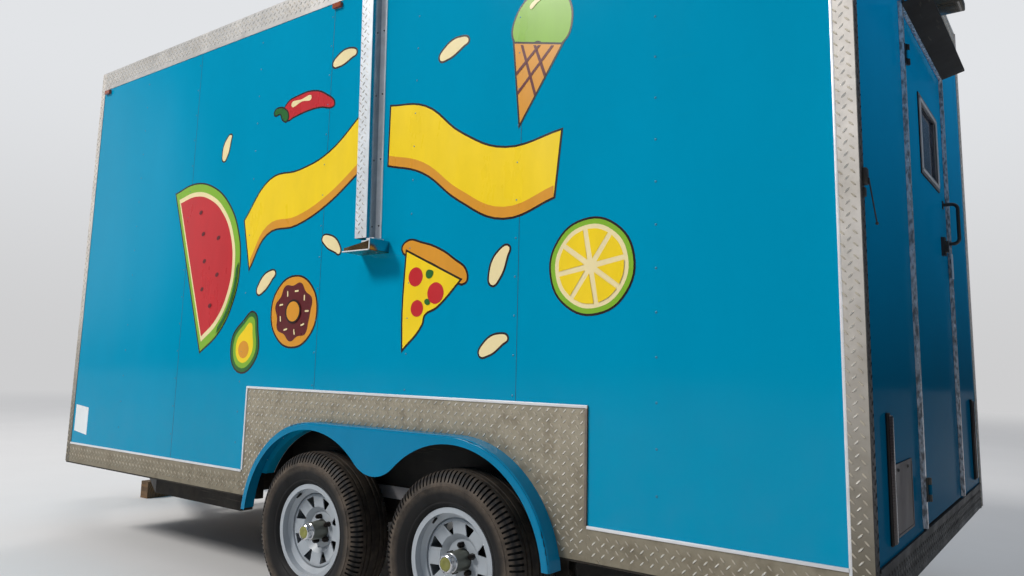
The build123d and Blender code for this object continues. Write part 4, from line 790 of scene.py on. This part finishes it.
def make_tyre(name):
    """A road tyre: ribs on the wall, grooves round the tread and slots across both shoulders."""
    bm = bmesh.new()
    outline = TYRE_HALF + [(radius, -out) for radius, out in reversed(TYRE_HALF)]
    verts = [bm.verts.new((0, out, radius)) for radius, out in outline]
    edges = [bm.edges.new(pair) for pair in zip(verts, verts[1:])]
    bmesh.ops.spin(bm, geom=verts + edges, cent=(0, 0, 0), axis=(0, 1, 0), angle=2 * pi,
                   steps=TYRE_SPIN, use_merge=True)
    low, high = TYRE_HALF[SLOT_ROWS[0]], TYRE_HALF[SLOT_ROWS[1]]
    step = 2 * pi / TYRE_SPIN
    slots = []
    for face in bm.faces:
        middle = face.calc_center_median()
        radius, out = hypot(middle.x, middle.z), abs(middle.y)
        turn = int((Vector((middle.x, middle.z)).angle_signed(Vector((0, 1))) % (2 * pi)) / step)
        if low[0] < radius and high[1] < out < low[1] and turn % SLOT_EVERY < SLOT_SHARE:
            slots.append(face)
    sunk = bmesh.ops.extrude_face_region(bm, geom=slots)["geom"]
    bmesh.ops.delete(bm, geom=slots, context="FACES")
    for vert in only_verts(sunk):
        inward = Vector((-vert.co.x, 0, -vert.co.z)).normalized() * SLOT_DEPTH
        vert.co += inward + Vector((0, -SLOT_IN if vert.co.y > 0 else SLOT_IN, 0))
        # the slot faces take the second finish, near black as painted shade
        for face in vert.link_faces:
            face.material_index = 1
    low_box, high_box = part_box("tyre_" + name)
    bmesh.ops.translate(bm, verts=bm.verts, vec=(low_box + high_box) / 2)
    tyre = piece_from(bm, "road_tyre_" + name, TYRE_RUBBER, "wheel_" + name, smooth=35)
    tyre.data.materials.append(PAINTED_SHADE_BLACK)
    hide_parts("tyre_" + name)


NUT_CIRCLE, NUT_COUNT = 0.05715, 5
NUT_TURN = {"front_street": 0.52, "front_kerb": 0.3, "rear_street": 0.36, "rear_kerb": 0.7}
# radius and outward place of each outline turned round the axle
HUB_BODY = [(0.0223, 0.058), (0.0223, -0.052), (0.052, -0.052), (0.052, -0.012), (0.072, -0.012),
            (0.072, -0.0003), (0.0405, -0.0003), (0.0415, 0.030), (0.0395, 0.034), (0.0395, 0.068),
            (0.0375, 0.078), (0.0345, 0.080)]
BRAKE_DRUM = [(0.054, -0.013), (0.128, -0.013), (0.132, -0.017), (0.132, -0.060), (0.136, -0.062),
              (0.136, -0.068), (0.054, -0.068), (0.054, -0.013)]
HUB_CAP = [(0.0223, 0.074), (0.0370, 0.078), (0.0376, 0.083), (0.0352, 0.085), (0.0348, 0.088),
           (0.0352, 0.090), (0.0352, 0.103), (0.0336, 0.1085), (0.0300, 0.1110), (0.0270, 0.1105),
           (0.0262, 0.1085), (0.0262, 0.1060)]
CAP_CENTRE = [(0.0262, 0.1062), (0.0258, 0.1095), (0.0235, 0.1108), (0.0120, 0.1112),
              (0.0100, 0.1102), (0.0004, 0.1102)]


def make_wheel_fittings(name):
    """Nuts on their circle, the hub with its drum, bright cap and plug, and the valve."""
    low_box, high_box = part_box("wheel_" + name)
    outboard = -1 if name.endswith("street") else 1
    place = Matrix.Translation((low_box + high_box) / 2) @ Matrix.Rotation(-outboard * pi / 2, 4, "X")
    body = "wheel_" + name
    nuts = bmesh.new()
    for i in range(NUT_COUNT):
        spot = (place @ Matrix.Rotation(2 * pi / NUT_COUNT * i + NUT_TURN[name], 4, "Z")
                @ Matrix.Translation((NUT_CIRCLE, 0, 0.016)))
        cone(nuts, 6, 0.0125, 0.0115, 0.022, spot)
        cone(nuts, 12, 0.0095, 0.005, 0.008, spot @ Matrix.Translation((0, 0, 0.014)))
    piece_from(nuts, "wheel_nuts_" + name, NUT_STEEL, body, smooth=30)
    hub = piece_from(turned(HUB_BODY, 48, place), "hub_body_" + name, HUB_METAL, body, smooth=35)
    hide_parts("hub_" + name)
    # the brake drum takes the near black finish, painted shade seen through the wheel's holes
    for label, outline, steps, finish in (("brake_drum_", BRAKE_DRUM, 64, PAINTED_SHADE_BLACK),
                                          ("hub_cap_", HUB_CAP, 48, CHROME),
                                          ("cap_plug_", CAP_CENTRE, 40, CAP_PLUG)):
        piece_from(turned(outline, steps, place), label + name, finish, body, smooth=35)
    valve = bmesh.new()
    cone(valve, 16, 0.0062, 0.0042, 0.034,
         place @ Matrix.Rotation(2.2, 4, "Z") @ Matrix.Translation((0.178, 0, 0.062))
         @ Matrix.Rotation(-0.5, 4, "Y"))
    piece_from(valve, "valve_" + name, SEAL_RUBBER, body, smooth=35)


# the channel on the street wall, which leans a little, and the angle below it
CHANNEL_LEAN, CHANNEL_FLANGE, CHANNEL_SHEET = 0.033, 0.038, 0.0018
SCREW_PITCH = 0.3165


def leaned(bm):
    """Leans what is drawn upright the way the channel leans."""
    shear = Matrix.Identity(4)
    shear[0][2] = -CHANNEL_LEAN / (CHANNEL_HIGH.z - CHANNEL_LOW.z)
    base = Matrix.Translation((0, 0, CHANNEL_LOW.z))
    bmesh.ops.transform(bm, matrix=base @ shear @ base.inverted(), verts=bm.verts)
    return bm


def make_channel():
    """The folded channel: a tread plate face, two plain sides and a screwed flange."""
    out, low, high, sheet = CHANNEL_LOW.y, CHANNEL_LOW.z, CHANNEL_HIGH.z, CHANNEL_SHEET
    left, right = CHANNEL_LOW.x + CHANNEL_LEAN, CHANNEL_HIGH.x - CHANNEL_FLANGE
    face = blocks(((left, out + 0.0002, low), (right, out + sheet, high), 0.0006))
    front = piece_from(leaned(face), "channel_face", CHANNEL_PLATE)
    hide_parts("wall_channel")
    sides = blocks(*[((x, out + sheet * 0.8, low), (x + sheet, STREET_Y, high), 0.0)
                     for x in (left, right - sheet)])
    piece_from(leaned(sides), "channel_sides", POLISHED)
    flange = blocks(((right - sheet, STREET_Y - sheet * 1.4, low), (CHANNEL_HIGH.x, STREET_Y, high), 0.0006))
    piece_from(leaned(flange), "channel_flange", CHANNEL_PLATE)
    field = place_on(lug_field(right - left, high - low), "street", left, low, STREET_Y - out - 0.0003)
    lugs = piece_from(leaned(field), "channel_lugs", LUGS)
    lugs.data.materials.append(LUGS)
    screws = bmesh.new()
    z = low + 0.06
    while z < high:
        rivet_at(screws, "street", CHANNEL_HIGH.x - 0.016, z, 0.0055, 0.0062)
        z += SCREW_PITCH
    piece_from(leaned(screws), "channel_screws", BLACK_MOULDING, smooth=50)


def make_bracket():
    """The angle that runs out from the wall below the channel, with cut edges drawn bright as a painted
    highlight, and a clip.
    """
    left, right = CHANNEL_LOW.x + 0.021, CHANNEL_HIGH.x + 0.053
    out, thick, rim = BRACKET_LOW.y, 0.004, 0.0012
    foot, top = BRACKET_LOW.z + 0.037, BRACKET_HIGH.z - 0.010
    shelf = blocks(((left, out + 0.0004, foot), (right, STREET_Y, foot + thick), 0.0005))
    plate = piece_from(shelf, "bracket_shelf", BRONZED)
    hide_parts("channel_bracket")
    leg = blocks(((right - thick, out + 0.0004, foot + thick * 0.5), (right, STREET_Y, top), 0.0005))
    piece_from(leg, "bracket_leg", POLISHED)
    rims = blocks(((left, out, foot), (right, out + rim, foot + thick + rim), 0.0),
                  ((right - thick - rim, out, foot), (right, out + rim, top), 0.0),
                  ((left - 0.0004, out, foot), (left + 0.0008, STREET_Y, foot + thick + rim), 0.0))
    piece_from(rims, "bracket_cut_edges", EDGE)
    clip = blocks(((left + 0.100, CHANNEL_LOW.y - 0.010, top + 0.0005),
                   (right - 0.030, STREET_Y - 0.004, top + 0.012), 0.001),
                  ((left + 0.062, CHANNEL_LOW.y - 0.004, top - 0.012),
                   (left + 0.096, STREET_Y - 0.030, top + 0.004), 0.001))
    piece_from(clip, "bracket_clip", CHANNEL_PLATE)
    upstand = bmesh.new()
    for vert in slab(upstand, (left + 0.001, out + 0.010, foot + thick),
                     (right - thick, out + 0.013, top - 0.006)):
        if vert.co.x < left + 0.01 and vert.co.z > foot + thick + 0.001:
            vert.co.z = foot + thick + 0.016
    piece_from(upstand, "bracket_upstand", BRONZED)


def make_tail_lamps():
    """Upright oval lamps: a dark lens in a black rubber base, one at each side."""
    width, rim = 0.038, 0.005
    low, high = LAMP_LOW.z, LAMP_HIGH.z
    lefts = (LAMP_LOW.y, LAMP_HIGH.y - width)
    lenses = blocks(*[((REAR_X + 0.002, y + rim, low + rim),
                       (LAMP_HIGH.x - 0.003, y + width - rim, high - rim), 0.0085) for y in lefts])
    faces = piece_from(lenses, "tail_lamp_lenses", RED_LENS, smooth=50)
    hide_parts("tail_lights")
    bases = blocks(*[((REAR_X, y, low), (REAR_X + 0.009, y + width, high), 0.0040) for y in lefts])
    piece_from(bases, "tail_lamp_bases", SEAL_RUBBER, smooth=50)


def rear_ring(bm, low, high, width, back, front, ease):
    """A rectangular ring on the rear wall between two depths."""
    for start, end in (((low.y, low.z), (high.y, low.z + width)),
                       ((low.y, high.z - width), (high.y, high.z)),
                       ((low.y, low.z), (low.y + width, high.z)),
                       ((high.y - width, low.z), (high.y, high.z))):
        slab(bm, (back, *start), (front, *end), ease)
    return bm


def make_door_window():
    """The door's window surround: a dark gasket, a flat grey flange and a light bead inside."""
    face = FRAME_HIGH.x
    grow, shrink = Vector((0, 0.0025, 0.0025)), Vector((0, 0.014, 0.014))
    gasket = rear_ring(bmesh.new(), FRAME_LOW - grow, FRAME_HIGH + grow, 0.004, face - 0.007,
                       face - 0.0015, 0.0)
    piece_from(gasket, "window_gasket", SEAL_RUBBER, "rear_door")
    bead = rear_ring(bmesh.new(), FRAME_LOW + shrink, FRAME_HIGH - shrink, 0.010, face - 0.012,
                     face + 0.004, 0.002)
    piece_from(bead, "window_bead", LIGHT_FRAME, "rear_door", smooth=40)


def make_holdback():
    """The door's hook: a small block by the corner, and a thin rod that hangs with a knob."""
    y, top = HOOK_LOW.y, HOOK_HIGH.z
    block = blocks(((REAR_X, y, top - 0.052), (REAR_X + 0.017, y + 0.030, top), 0.004),
                   ((REAR_X, y + 0.004, top - 0.088), (REAR_X + 0.010, y + 0.026, top - 0.060), 0.003))
    holder = piece_from(block, "holdback_block", BLACK_MOULDING, smooth=40)
    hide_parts("door_holdback")
    rod = bmesh.new()
    head = Vector((REAR_X + 0.018, y + 0.020, top - 0.030))
    knob = Vector((HOOK_HIGH.x - 0.010, HOOK_HIGH.y - 0.004, HOOK_LOW.z + 0.005))
    run = knob - head
    cone(rod, 10, 0.0022, 0.0022, run.length,
         Matrix.Translation((head + knob) / 2) @ run.to_track_quat("Z", "Y").to_matrix().to_4x4())
    bmesh.ops.create_uvsphere(rod, u_segments=12, v_segments=8, radius=0.005,
                              matrix=Matrix.Translation(knob))
    piece_from(rod, "holdback_rod", BLACK_MOULDING, smooth=40)


def make_work_lamp():
    """The work lamp above the hood: a shallow case on an arm, with fins behind and a glass below."""
    low = Vector((REAR_X + 0.048, FLOOD_LOW.y + 0.002, FLOOD_LOW.z + 0.036))
    high = Vector((FLOOD_HIGH.x - 0.002, FLOOD_HIGH.y - 0.002, FLOOD_HIGH.z + 0.006))
    case = blocks((low, high, 0.006))
    for i in range(6):
        y = low.y + 0.016 + i * (high.y - low.y - 0.036) / 5
        slab(case, (low.x + 0.012, y, high.z - 0.001), (high.x - 0.012, y + 0.004, high.z + 0.010))
    body = piece_from(case, "work_lamp_case", LAMP_CASE, smooth=40)
    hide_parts("flood_light")
    glass = blocks(((low.x + 0.010, low.y + 0.010, low.z - 0.0012),
                    (high.x - 0.010, high.y - 0.010, low.z + 0.001), 0.0))
    piece_from(glass, "work_lamp_glass", CLEAR_LENS)
    y = (low.y + high.y) / 2
    arm = blocks(((REAR_X, y - 0.018, high.z - 0.026), (REAR_X + 0.004, y + 0.018, high.z + 0.022), 0.001),
                 ((REAR_X + 0.003, y - 0.010, high.z - 0.014), (low.x + 0.004, y + 0.010, high.z - 0.006),
                  0.001))
    piece_from(arm, "work_lamp_arm", BLACK_MOULDING)


def make_rear_fittings():
    """The door's strike plate and the bright bead on the kerb side's rear corner."""
    strike_y, strike_wide, strike_low, strike_high = 0.500, 0.022, 1.570, 1.688
    strike = blocks(((DOOR_HIGH.x - 0.0153, strike_y, strike_low),
                     (DOOR_HIGH.x - 0.0098, strike_y + strike_wide, strike_high), 0.001))
    piece_from(strike, "strike_plate", LIGHT_FRAME, "rear_door")
    bead = blocks(((REAR_X + 0.002, KERB_Y - 0.009, SKIRT_LOW.z),
                   (REAR_X + 0.0075, KERB_Y - 0.001, TRIM_HIGH.z), 0.0015))
    piece_from(bead, "corner_beads", CORNER_BEAD)


def make_hatch_trim():
    """The hatch's flat edging, with two paddle latches low on its leaf."""
    out, wide, thick = HATCH_HIGH.y, 0.020, 0.0015
    left, foot, right, top = HATCH_LOW.x, HATCH_LOW.z, HATCH_HIGH.x, HATCH_HIGH.z - 0.018
    edging = blocks(*[((x, out, z), (end_x, out + thick, end_z), 0.0005) for x, z, end_x, end_z in (
        (left, foot, right, foot + wide), (left, top - wide, right, top),
        (left, foot, left + wide, top), (right - wide, foot, right, top))])
    piece_from(edging, "hatch_edging", EXTRUSION, "serving_hatch")
    latches = bmesh.new()
    for x in (left + 0.30, right - 0.30):
        slab(latches, (x - 0.040, out, foot + 0.032), (x + 0.040, out + 0.006, foot + 0.076), 0.002)
        slab(latches, (x - 0.026, out + 0.006, foot + 0.040), (x + 0.026, out + 0.011, foot + 0.068), 0.002)
    piece_from(latches, "hatch_latches", BLACK_MOULDING, "serving_hatch", smooth=40)


def make_number_plate():
    """The blank number plate flat on the wall beside the lamp, with two bolts near its top."""
    low = Vector((REAR_X, PLATE_LOW.y - 0.034, PLATE_LOW.z + 0.010))
    high = Vector((REAR_X + 0.0035, low.y + 0.305, PLATE_HIGH.z - 0.010))
    sheet = rear_ring(blocks((low, high, 0.0008)), low, high, 0.008, REAR_X + 0.003, REAR_X + 0.0050, 0.0006)
    plate = piece_from(sheet, "plate_sheet", BLANK_PLATE)
    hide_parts("number_plate")
    bolts = bmesh.new()
    for y in (low.y + 0.075, high.y - 0.075):
        rivet_at(bolts, "rear", y, high.z - 0.020, 0.008, 0.009)
    piece_from(bolts, "plate_bolts", BLACK_MOULDING, smooth=50)


def make_rail_painted_light():
    """A short pale plate on each main rail, seen between the two tyres: painted light for the patch of rail
    lit there.
    """
    start, end, low, high, thick = 0.78, 1.02, 0.500, 0.556, 0.003
    plates = blocks(*[((start, face, low), (end, face + out, high), 0.0008)
                      for face, out in ((RAIL_LOW.y, -thick), (RAIL_HIGH.y, thick))])
    piece_from(plates, "rail_painted_light_plates", RAIL_PAINTED_LIGHT)


# printed film on the street wall
FILM_T = 0.0003
FILM_OUT, FILM_STEP, LINE_BACK = 0.0008, 0.00035, 0.0002
LINE_W = 0.009


def film(points, grow=0.0):
    """A flat closed shape through a few knots, sharp where a knot is marked, and wider by grow."""
    curve = bpy.data.curves.new("film", "CURVE")
    curve.dimensions, curve.fill_mode = "2D", "BOTH"
    curve.extrude, curve.offset, curve.resolution_u = FILM_T / 2, grow, 6
    line = curve.splines.new("BEZIER")
    line.bezier_points.add(len(points) - 1)
    line.use_cyclic_u = True
    for knot, (u, v, sharp) in zip(line.bezier_points, points):
        knot.co = (u, v, 0)
        knot.handle_left_type = knot.handle_right_type = "VECTOR" if sharp else "AUTO"
    holder = bpy.data.objects.new("film", curve)
    mesh = bpy.data.meshes.new_from_object(holder)
    bm = bmesh.new()
    bm.from_mesh(mesh)
    bmesh.ops.remove_doubles(bm, verts=bm.verts, dist=0.00005)
    bpy.data.objects.remove(holder)
    bpy.data.curves.remove(curve)
    bpy.data.meshes.remove(mesh)
    return bm


def soft(*knots):
    return [(u, v, False) for u, v in knots]


def hard(*knots):
    return [(u, v, True) for u, v in knots]


def open_line(knots):
    """A run of soft knots whose two ends are sharp."""
    return [(u, v, i in (0, len(knots) - 1)) for i, (u, v) in enumerate(knots)]


def polar(radius, degrees, at=(0, 0), flat=1.0):
    return (at[0] + radius * cos(radians(degrees)), at[1] + radius * flat * sin(radians(degrees)))


def arc(radius, start, end, knots, at=(0, 0)):
    """Knots along part of a round, with its two ends sharp."""
    return open_line([polar(radius, start + (end - start) * i / (knots - 1), at) for i in range(knots)])


def round_shape(radius, at=(0, 0), flat=1.0):
    return soft(*[polar(radius, 45 * i, at, flat) for i in range(8)])


def melon_slice():
    seeds = [("maroon", round_shape(0.016, polar(radius, degrees), 0.7), 0) for radius, degrees in (
        (0.20, -58), (0.30, -30), (0.17, -8), (0.33, 8), (0.24, 34), (0.34, 52), (0.33, -62))]
    return [("green", arc(0.50, -90, 90, 9), 1), ("cream", arc(0.452, -88, 88, 9, (0.006, 0)), 0),
            ("red", arc(0.424, -87, 87, 9, (0.010, 0)), 0), *seeds,
            ("leaf", arc(0.495, -70, -20, 5) + arc(0.475, -24, -66, 5), 0)]


def ribbon(top, bottom, stripe=0.045):
    """A waving band with a darker stripe along its lower edge."""
    low = open_line(bottom)
    lifted = [(u, v + stripe, sharp) for u, v, sharp in reversed(low)]
    return [("yellow", open_line(top) + low, 1), ("amber", low + lifted, 0)]


def doughnut():
    dashes = []
    for degrees in range(0, 360, 40):
        (u, v), turn = polar(0.098, degrees), degrees * 2.3
        dashes.append(("cream", soft(*[polar(reach, turn + quarter, (u, v)) for reach, quarter in (
            (0.014, 180), (0.004, -90), (0.014, 0), (0.004, 90))]), 0))
    wave = [polar(0.142 if i % 2 else 0.124, i * 24) for i in range(15)]
    return [("amber", round_shape(0.165), 1), ("maroon", soft(*wave), 0), *dashes,
            ("outline", round_shape(0.056), 0), ("amber", round_shape(0.047), 0)]


def cone_of_ice():
    lines = []
    for turn in (1, -1):
        lines += [("maroon", hard(*[(turn * u, v) for u, v in knots]), 0) for knots in (
            ((-0.09, 0.04), (-0.075, 0.04), (0.05, -0.165), (0.044, -0.18)),
            ((-0.02, 0.04), (-0.005, 0.04), (0.080, -0.08), (0.073, -0.095)))]
    return [("green", soft((-0.13, 0.06), (-0.15, 0.14), (-0.09, 0.26), (0.0, 0.31), (0.09, 0.26),
                           (0.15, 0.14), (0.13, 0.06), (0.06, 0.03), (0.0, 0.06), (-0.06, 0.03)), 1),
            ("amber", hard((-0.125, 0.045), (0.125, 0.045), (0.0, -0.30)), 1), *lines,
            ("cream", soft((-0.08, 0.20), (-0.05, 0.25), (-0.02, 0.265), (-0.05, 0.225)), 0)]


def pizza_slice():
    toppings = [("red", round_shape(radius, at), 0) for radius, at in (
        (0.042, (-0.07, 0.07)), (0.046, (0.07, 0.05)), (0.036, (0.0, -0.05)))]
    return [("amber", soft((-0.20, 0.15), (-0.19, 0.19), (-0.10, 0.215), (0.0, 0.225), (0.10, 0.215),
                           (0.19, 0.19), (0.20, 0.15), (0.10, 0.155), (0.0, 0.16), (-0.10, 0.155)), 1),
            ("yellow", [*hard((-0.17, 0.15), (0.17, 0.15)), *soft((0.10, 0.0), (0.05, -0.06), (0.055, -0.10)),
                        (0.0, -0.24, True), (-0.07, -0.10, False)], 1), *toppings,
            ("leaf", soft((0.0, 0.09), (0.02, 0.125), (0.0, 0.13), (-0.02, 0.115)), 0),
            ("leaf", soft((0.03, -0.01), (0.06, -0.005), (0.05, 0.01), (0.03, 0.005)), 0)]


def citrus():
    parts = [("green", round_shape(0.185), 1), ("cream", round_shape(0.165), 0)]
    for start in range(4, 364, 45):
        parts.append(("yellow", hard(polar(0.03, start + 18)) + arc(0.148, start, start + 37, 3), 0))
    return parts


def chilli():
    return [("red", soft((-0.20, 0.05), (-0.15, 0.09), (-0.05, 0.075), (0.08, 0.02), (0.16, -0.06),
                         (0.20, -0.15), (0.185, -0.155), (0.10, -0.10), (0.0, -0.055), (-0.12, -0.02),
                         (-0.19, 0.0)), 1),
            ("leaf", soft((-0.185, 0.075), (-0.21, 0.10), (-0.265, 0.11), (-0.27, 0.09), (-0.225, 0.07),
                          (-0.215, 0.02), (-0.185, -0.005), (-0.165, 0.03)), 1),
            ("cream", soft((-0.12, 0.06), (-0.03, 0.04), (0.05, 0.0), (-0.03, 0.025)), 0)]


def avocado():
    return [(colour, soft((0.0, top), (shoulder, high), (wide, -0.03), (0.0, -foot), (-wide, -0.03),
                          (-shoulder, high)), lined)
            for colour, top, shoulder, high, wide, foot, lined in (
                ("leaf", 0.17, 0.065, 0.10, 0.115, 0.15, 1), ("green", 0.148, 0.052, 0.09, 0.096, 0.130, 0),
                ("yellow", 0.115, 0.036, 0.07, 0.072, 0.102, 0))
            ] + [("amber", round_shape(0.045, (0, -0.032)), 0)]


CRUMB = [("cream", soft((-0.085, -0.02), (-0.05, 0.02), (0.05, 0.03), (0.085, 0.0), (0.05, -0.015),
                        (-0.04, -0.035)), 1)]

# each motif's drawing, its place on the wall, its turn in degrees and its size
MOTIFS = [
    (melon_slice(), (-0.62, 1.62), 22, 1.0),
    (ribbon([(-0.10, 1.86), (0.10, 2.06), (0.34, 2.08), (0.56, 2.14), (0.79, 2.30)],
            [(0.79, 2.02), (0.56, 1.88), (0.34, 1.80), (0.10, 1.77), (-0.03, 1.60)]), (0, 0), 0, 1.0),
    (ribbon([(0.985, 2.30), (1.20, 2.26), (1.42, 2.10), (1.66, 2.00), (1.93, 2.03)],
            [(1.90, 1.77), (1.66, 1.71), (1.42, 1.81), (1.20, 1.96), (0.985, 2.02)]), (0, 0), 0, 1.0),
    (doughnut(), (0.36, 1.36), 0, 1.05),
    (pizza_slice(), (1.22, 1.40), -24, 1.0),
    (citrus(), (2.07, 1.49), 10, 0.95),
    (cone_of_ice(), (1.80, 2.37), -14, 0.95),
    (chilli(), (0.36, 2.44), 24, 0.9),
    (avocado(), (-0.02, 1.20), -20, 1.0),
] + [(CRUMB, at, degrees, size) for at, degrees, size in (
    ((0.12, 1.52), 30, 1.0), ((1.36, 2.50), 12, 1.0), ((0.62, 1.68), -40, 0.9), ((1.64, 1.52), 55, 1.0),
    ((1.62, 1.20), 20, 0.9), ((0.64, 2.62), 4, 1.0), ((-0.32, 2.30), 62, 0.9))]


def make_film_print():
    """The wall's printed motifs, one piece for each colour, laid over each other by thin steps."""
    sheets = {colour: [] for colour in FILMS}

    def lay(colour, points, grow, out, place):
        sheet = film(points, grow)
        bmesh.ops.transform(sheet, matrix=place, verts=sheet.verts)
        sheets[colour].append(place_on(sheet, "street", 0.0, 0.0, out))

    for drawing, at, degrees, size in MOTIFS:
        place = (Matrix.Translation((*at, 0)) @ Matrix.Rotation(radians(degrees), 4, "Z")
                 @ Matrix.Diagonal((size, size, 1, 1)))
        for step, (colour, points, lined) in enumerate(drawing):
            out = FILM_OUT + step * FILM_STEP
            lay(colour, points, 0.0, out, place)
            if lined:
                lay("outline", points, LINE_W, out - LINE_BACK, place)
    sticker = hard((-1.797, 0.640), (-1.632, 0.622), (-1.632, 0.792), (-1.797, 0.806))
    lay("white", sticker, 0.0, 0.0006, Matrix.Identity(4))
    for colour, drawings in sheets.items():
        gather("film_" + colour, drawings, FILMS[colour])


# floor, world, lights and camera
FLOOR_R, FADE_NEAR, FADE_FAR = 60.0, 9.0, 26.0


def make_floor():
    """A plain pale floor that runs out into the backdrop."""
    bm = bmesh.new()
    bmesh.ops.create_circle(bm, cap_ends=True, segments=96, radius=FLOOR_R)
    bmesh.ops.translate(bm, verts=bm.verts, vec=(0, 0, -0.0005))
    mesh = bpy.data.meshes.new("studio_floor")
    bm.to_mesh(mesh)
    bm.free()
    floor = bpy.data.objects.new("studio_floor", mesh)
    scene.collection.objects.link(floor)
    material, tree = new_material("studio_floor")
    feed(material, Base_Color=toned(tree, srgb(214, 213, 212), 0.02, 0.8), Roughness=0.8)
    far = add(tree, "ShaderNodeVectorMath", {0: places(tree)}, operation="LENGTH").outputs["Value"]
    fade = ranged(tree, far, FADE_NEAR, FADE_FAR, curve="SMOOTHSTEP")
    ray = add(tree, "ShaderNodeLightPath").outputs
    # mirrored rays see the far floor glow like the backdrop only forward of the rear wall; behind it they see
    # the lit floor, so the rear wall mirrors a dimmer floor: a painted reflection
    mirrored = times(tree, math(tree, "MAXIMUM", ray["Is Glossy Ray"], ray["Is Transmission Ray"]),
                     ranged(tree, axes(tree)["X"], REAR_X + 0.4, REAR_X - 1.0))
    seen = math(tree, "MAXIMUM", ray["Is Camera Ray"], mirrored)
    glow = add(tree, "ShaderNodeEmission", {"Color": srgb(206, 206, 207), "Strength": 1.0})
    both = add(tree, "ShaderNodeMixShader", {0: times(tree, fade, seen),
                                             1: tree.nodes["Principled BSDF"].outputs[0],
                                             2: glow.outputs[0]})
    tree.links.new(both.outputs[0], tree.nodes["Material Output"].inputs["Surface"])
    mesh.materials.append(material)


def towards(tree, direction, low, high):
    """0 to 1 as a view of the surround turns from low to high towards a direction."""
    view = add(tree, "ShaderNodeTexCoord").outputs["Generated"]
    lean = add(tree, "ShaderNodeVectorMath", {0: view, 1: Vector(direction).normalized()},
               operation="DOT_PRODUCT").outputs["Value"]
    return ranged(tree, lean, low, high, curve="SMOOTHSTEP")


def backdrop(tree):
    """The pale backdrop, a little lighter higher up."""
    return mixed(tree, towards(tree, (0, 0, 1), -0.02, 0.35), srgb(206, 206, 207), srgb(226, 228, 231))


def surround(tree):
    """A pale backdrop beyond the trailer, a soft bright top and a dim room on the near side."""
    dim = mixed(tree, towards(tree, (0, 0, 1), 0.12, 0.5), (0.030, 0.046, 0.060, 1.0),
                (0.10, 0.17, 0.26, 1.0))
    beyond = times(tree, towards(tree, (-0.45, 0.89, 0), 0.05, 0.55),
                   towards(tree, (-1, 0, 0), -0.01, 0.05))
    room = mixed(tree, beyond, dim, backdrop(tree))
    sheen = mixed(tree, towards(tree, (-0.935, -0.32, 0.17), 0.970, 0.996), room, (0.95, 0.98, 1.0, 1.0))
    return mixed(tree, towards(tree, (0, 0, 1), 0.45, 0.9), sheen, (0.58, 0.58, 0.60, 1.0))


def make_world():
    """The backdrop for the camera, and the surround for light and mirrored rays."""
    world = bpy.data.worlds.new("studio")
    world.use_nodes = True
    tree = world.node_tree
    tree.nodes.clear()
    seen = add(tree, "ShaderNodeLightPath").outputs["Is Camera Ray"]
    colour = mixed(tree, seen, surround(tree), backdrop(tree))
    light = add(tree, "ShaderNodeBackground", {"Color": colour, "Strength": 1.0})
    add(tree, "ShaderNodeOutputWorld", {"Surface": light.outputs[0]})
    scene.world = world


def soft_lamp(name, place, aim, size, power, colour=(1.0, 1.0, 1.0)):
    """A large soft panel lamp that looks at a point."""
    light = bpy.data.lights.new(name, "AREA")
    light.shape, light.size, light.energy, light.color = "DISK", size, power, colour
    lamp = bpy.data.objects.new(name, light)
    lamp.location = place
    lamp.rotation_euler = (Vector(aim) - Vector(place)).to_track_quat("-Z", "Y").to_euler()
    scene.collection.objects.link(lamp)


def make_lamps():
    soft_lamp("key", (-9.6, -16.6, 17.0), (0.3, 0.0, 1.0), 6.2, 4590.0, (1.0, 0.97, 0.93))
    soft_lamp("kerb_fill", (-5.5, 9.5, 7.0), (0.0, 0.0, 1.4), 4.0, 300.0)


# the photograph's camera, in the part's frame
CAMERA_PLACE = (REAR_X + 0.541, STREET_Y - 2.470, 1.121)
CAMERA_YAW, CAMERA_PITCH, CAMERA_ROLL = 0.6415, 0.1403, 0.0228
PHOTO_W, PHOTO_H = 1024, 576
FOCAL_PX, CENTRE_PX_Y = 782.0, 254.6
SENSOR = 36.0


def make_camera():
    camera = bpy.data.cameras.new("photo_camera")
    camera.sensor_width = SENSOR
    camera.lens = FOCAL_PX / PHOTO_W * SENSOR
    camera.shift_y = (CENTRE_PX_Y - PHOTO_H / 2) / PHOTO_W
    camera.clip_end = 200.0
    holder = bpy.data.objects.new("photo_camera", camera)
    holder.matrix_world = (Matrix.Translation(CAMERA_PLACE) @ Matrix.Rotation(CAMERA_YAW, 4, "Z")
                           @ Matrix.Rotation(pi / 2 + CAMERA_PITCH, 4, "X")
                           @ Matrix.Rotation(CAMERA_ROLL, 4, "Z"))
    scene.collection.objects.link(holder)
    scene.camera = holder


for make in (make_floor, make_world, make_lamps, make_camera, dress_nodes, make_plate_lugs,
             make_folded_edges, make_wall_joints, make_channel, make_bracket, make_tail_lamps,
             make_door_window, make_holdback, make_work_lamp, make_rear_fittings, make_hatch_trim,
             make_number_plate, make_rail_painted_light, make_film_print):
    make()
for wheel_name in WHEELS:
    make_tyre(wheel_name)
    make_wheel_fittings(wheel_name)
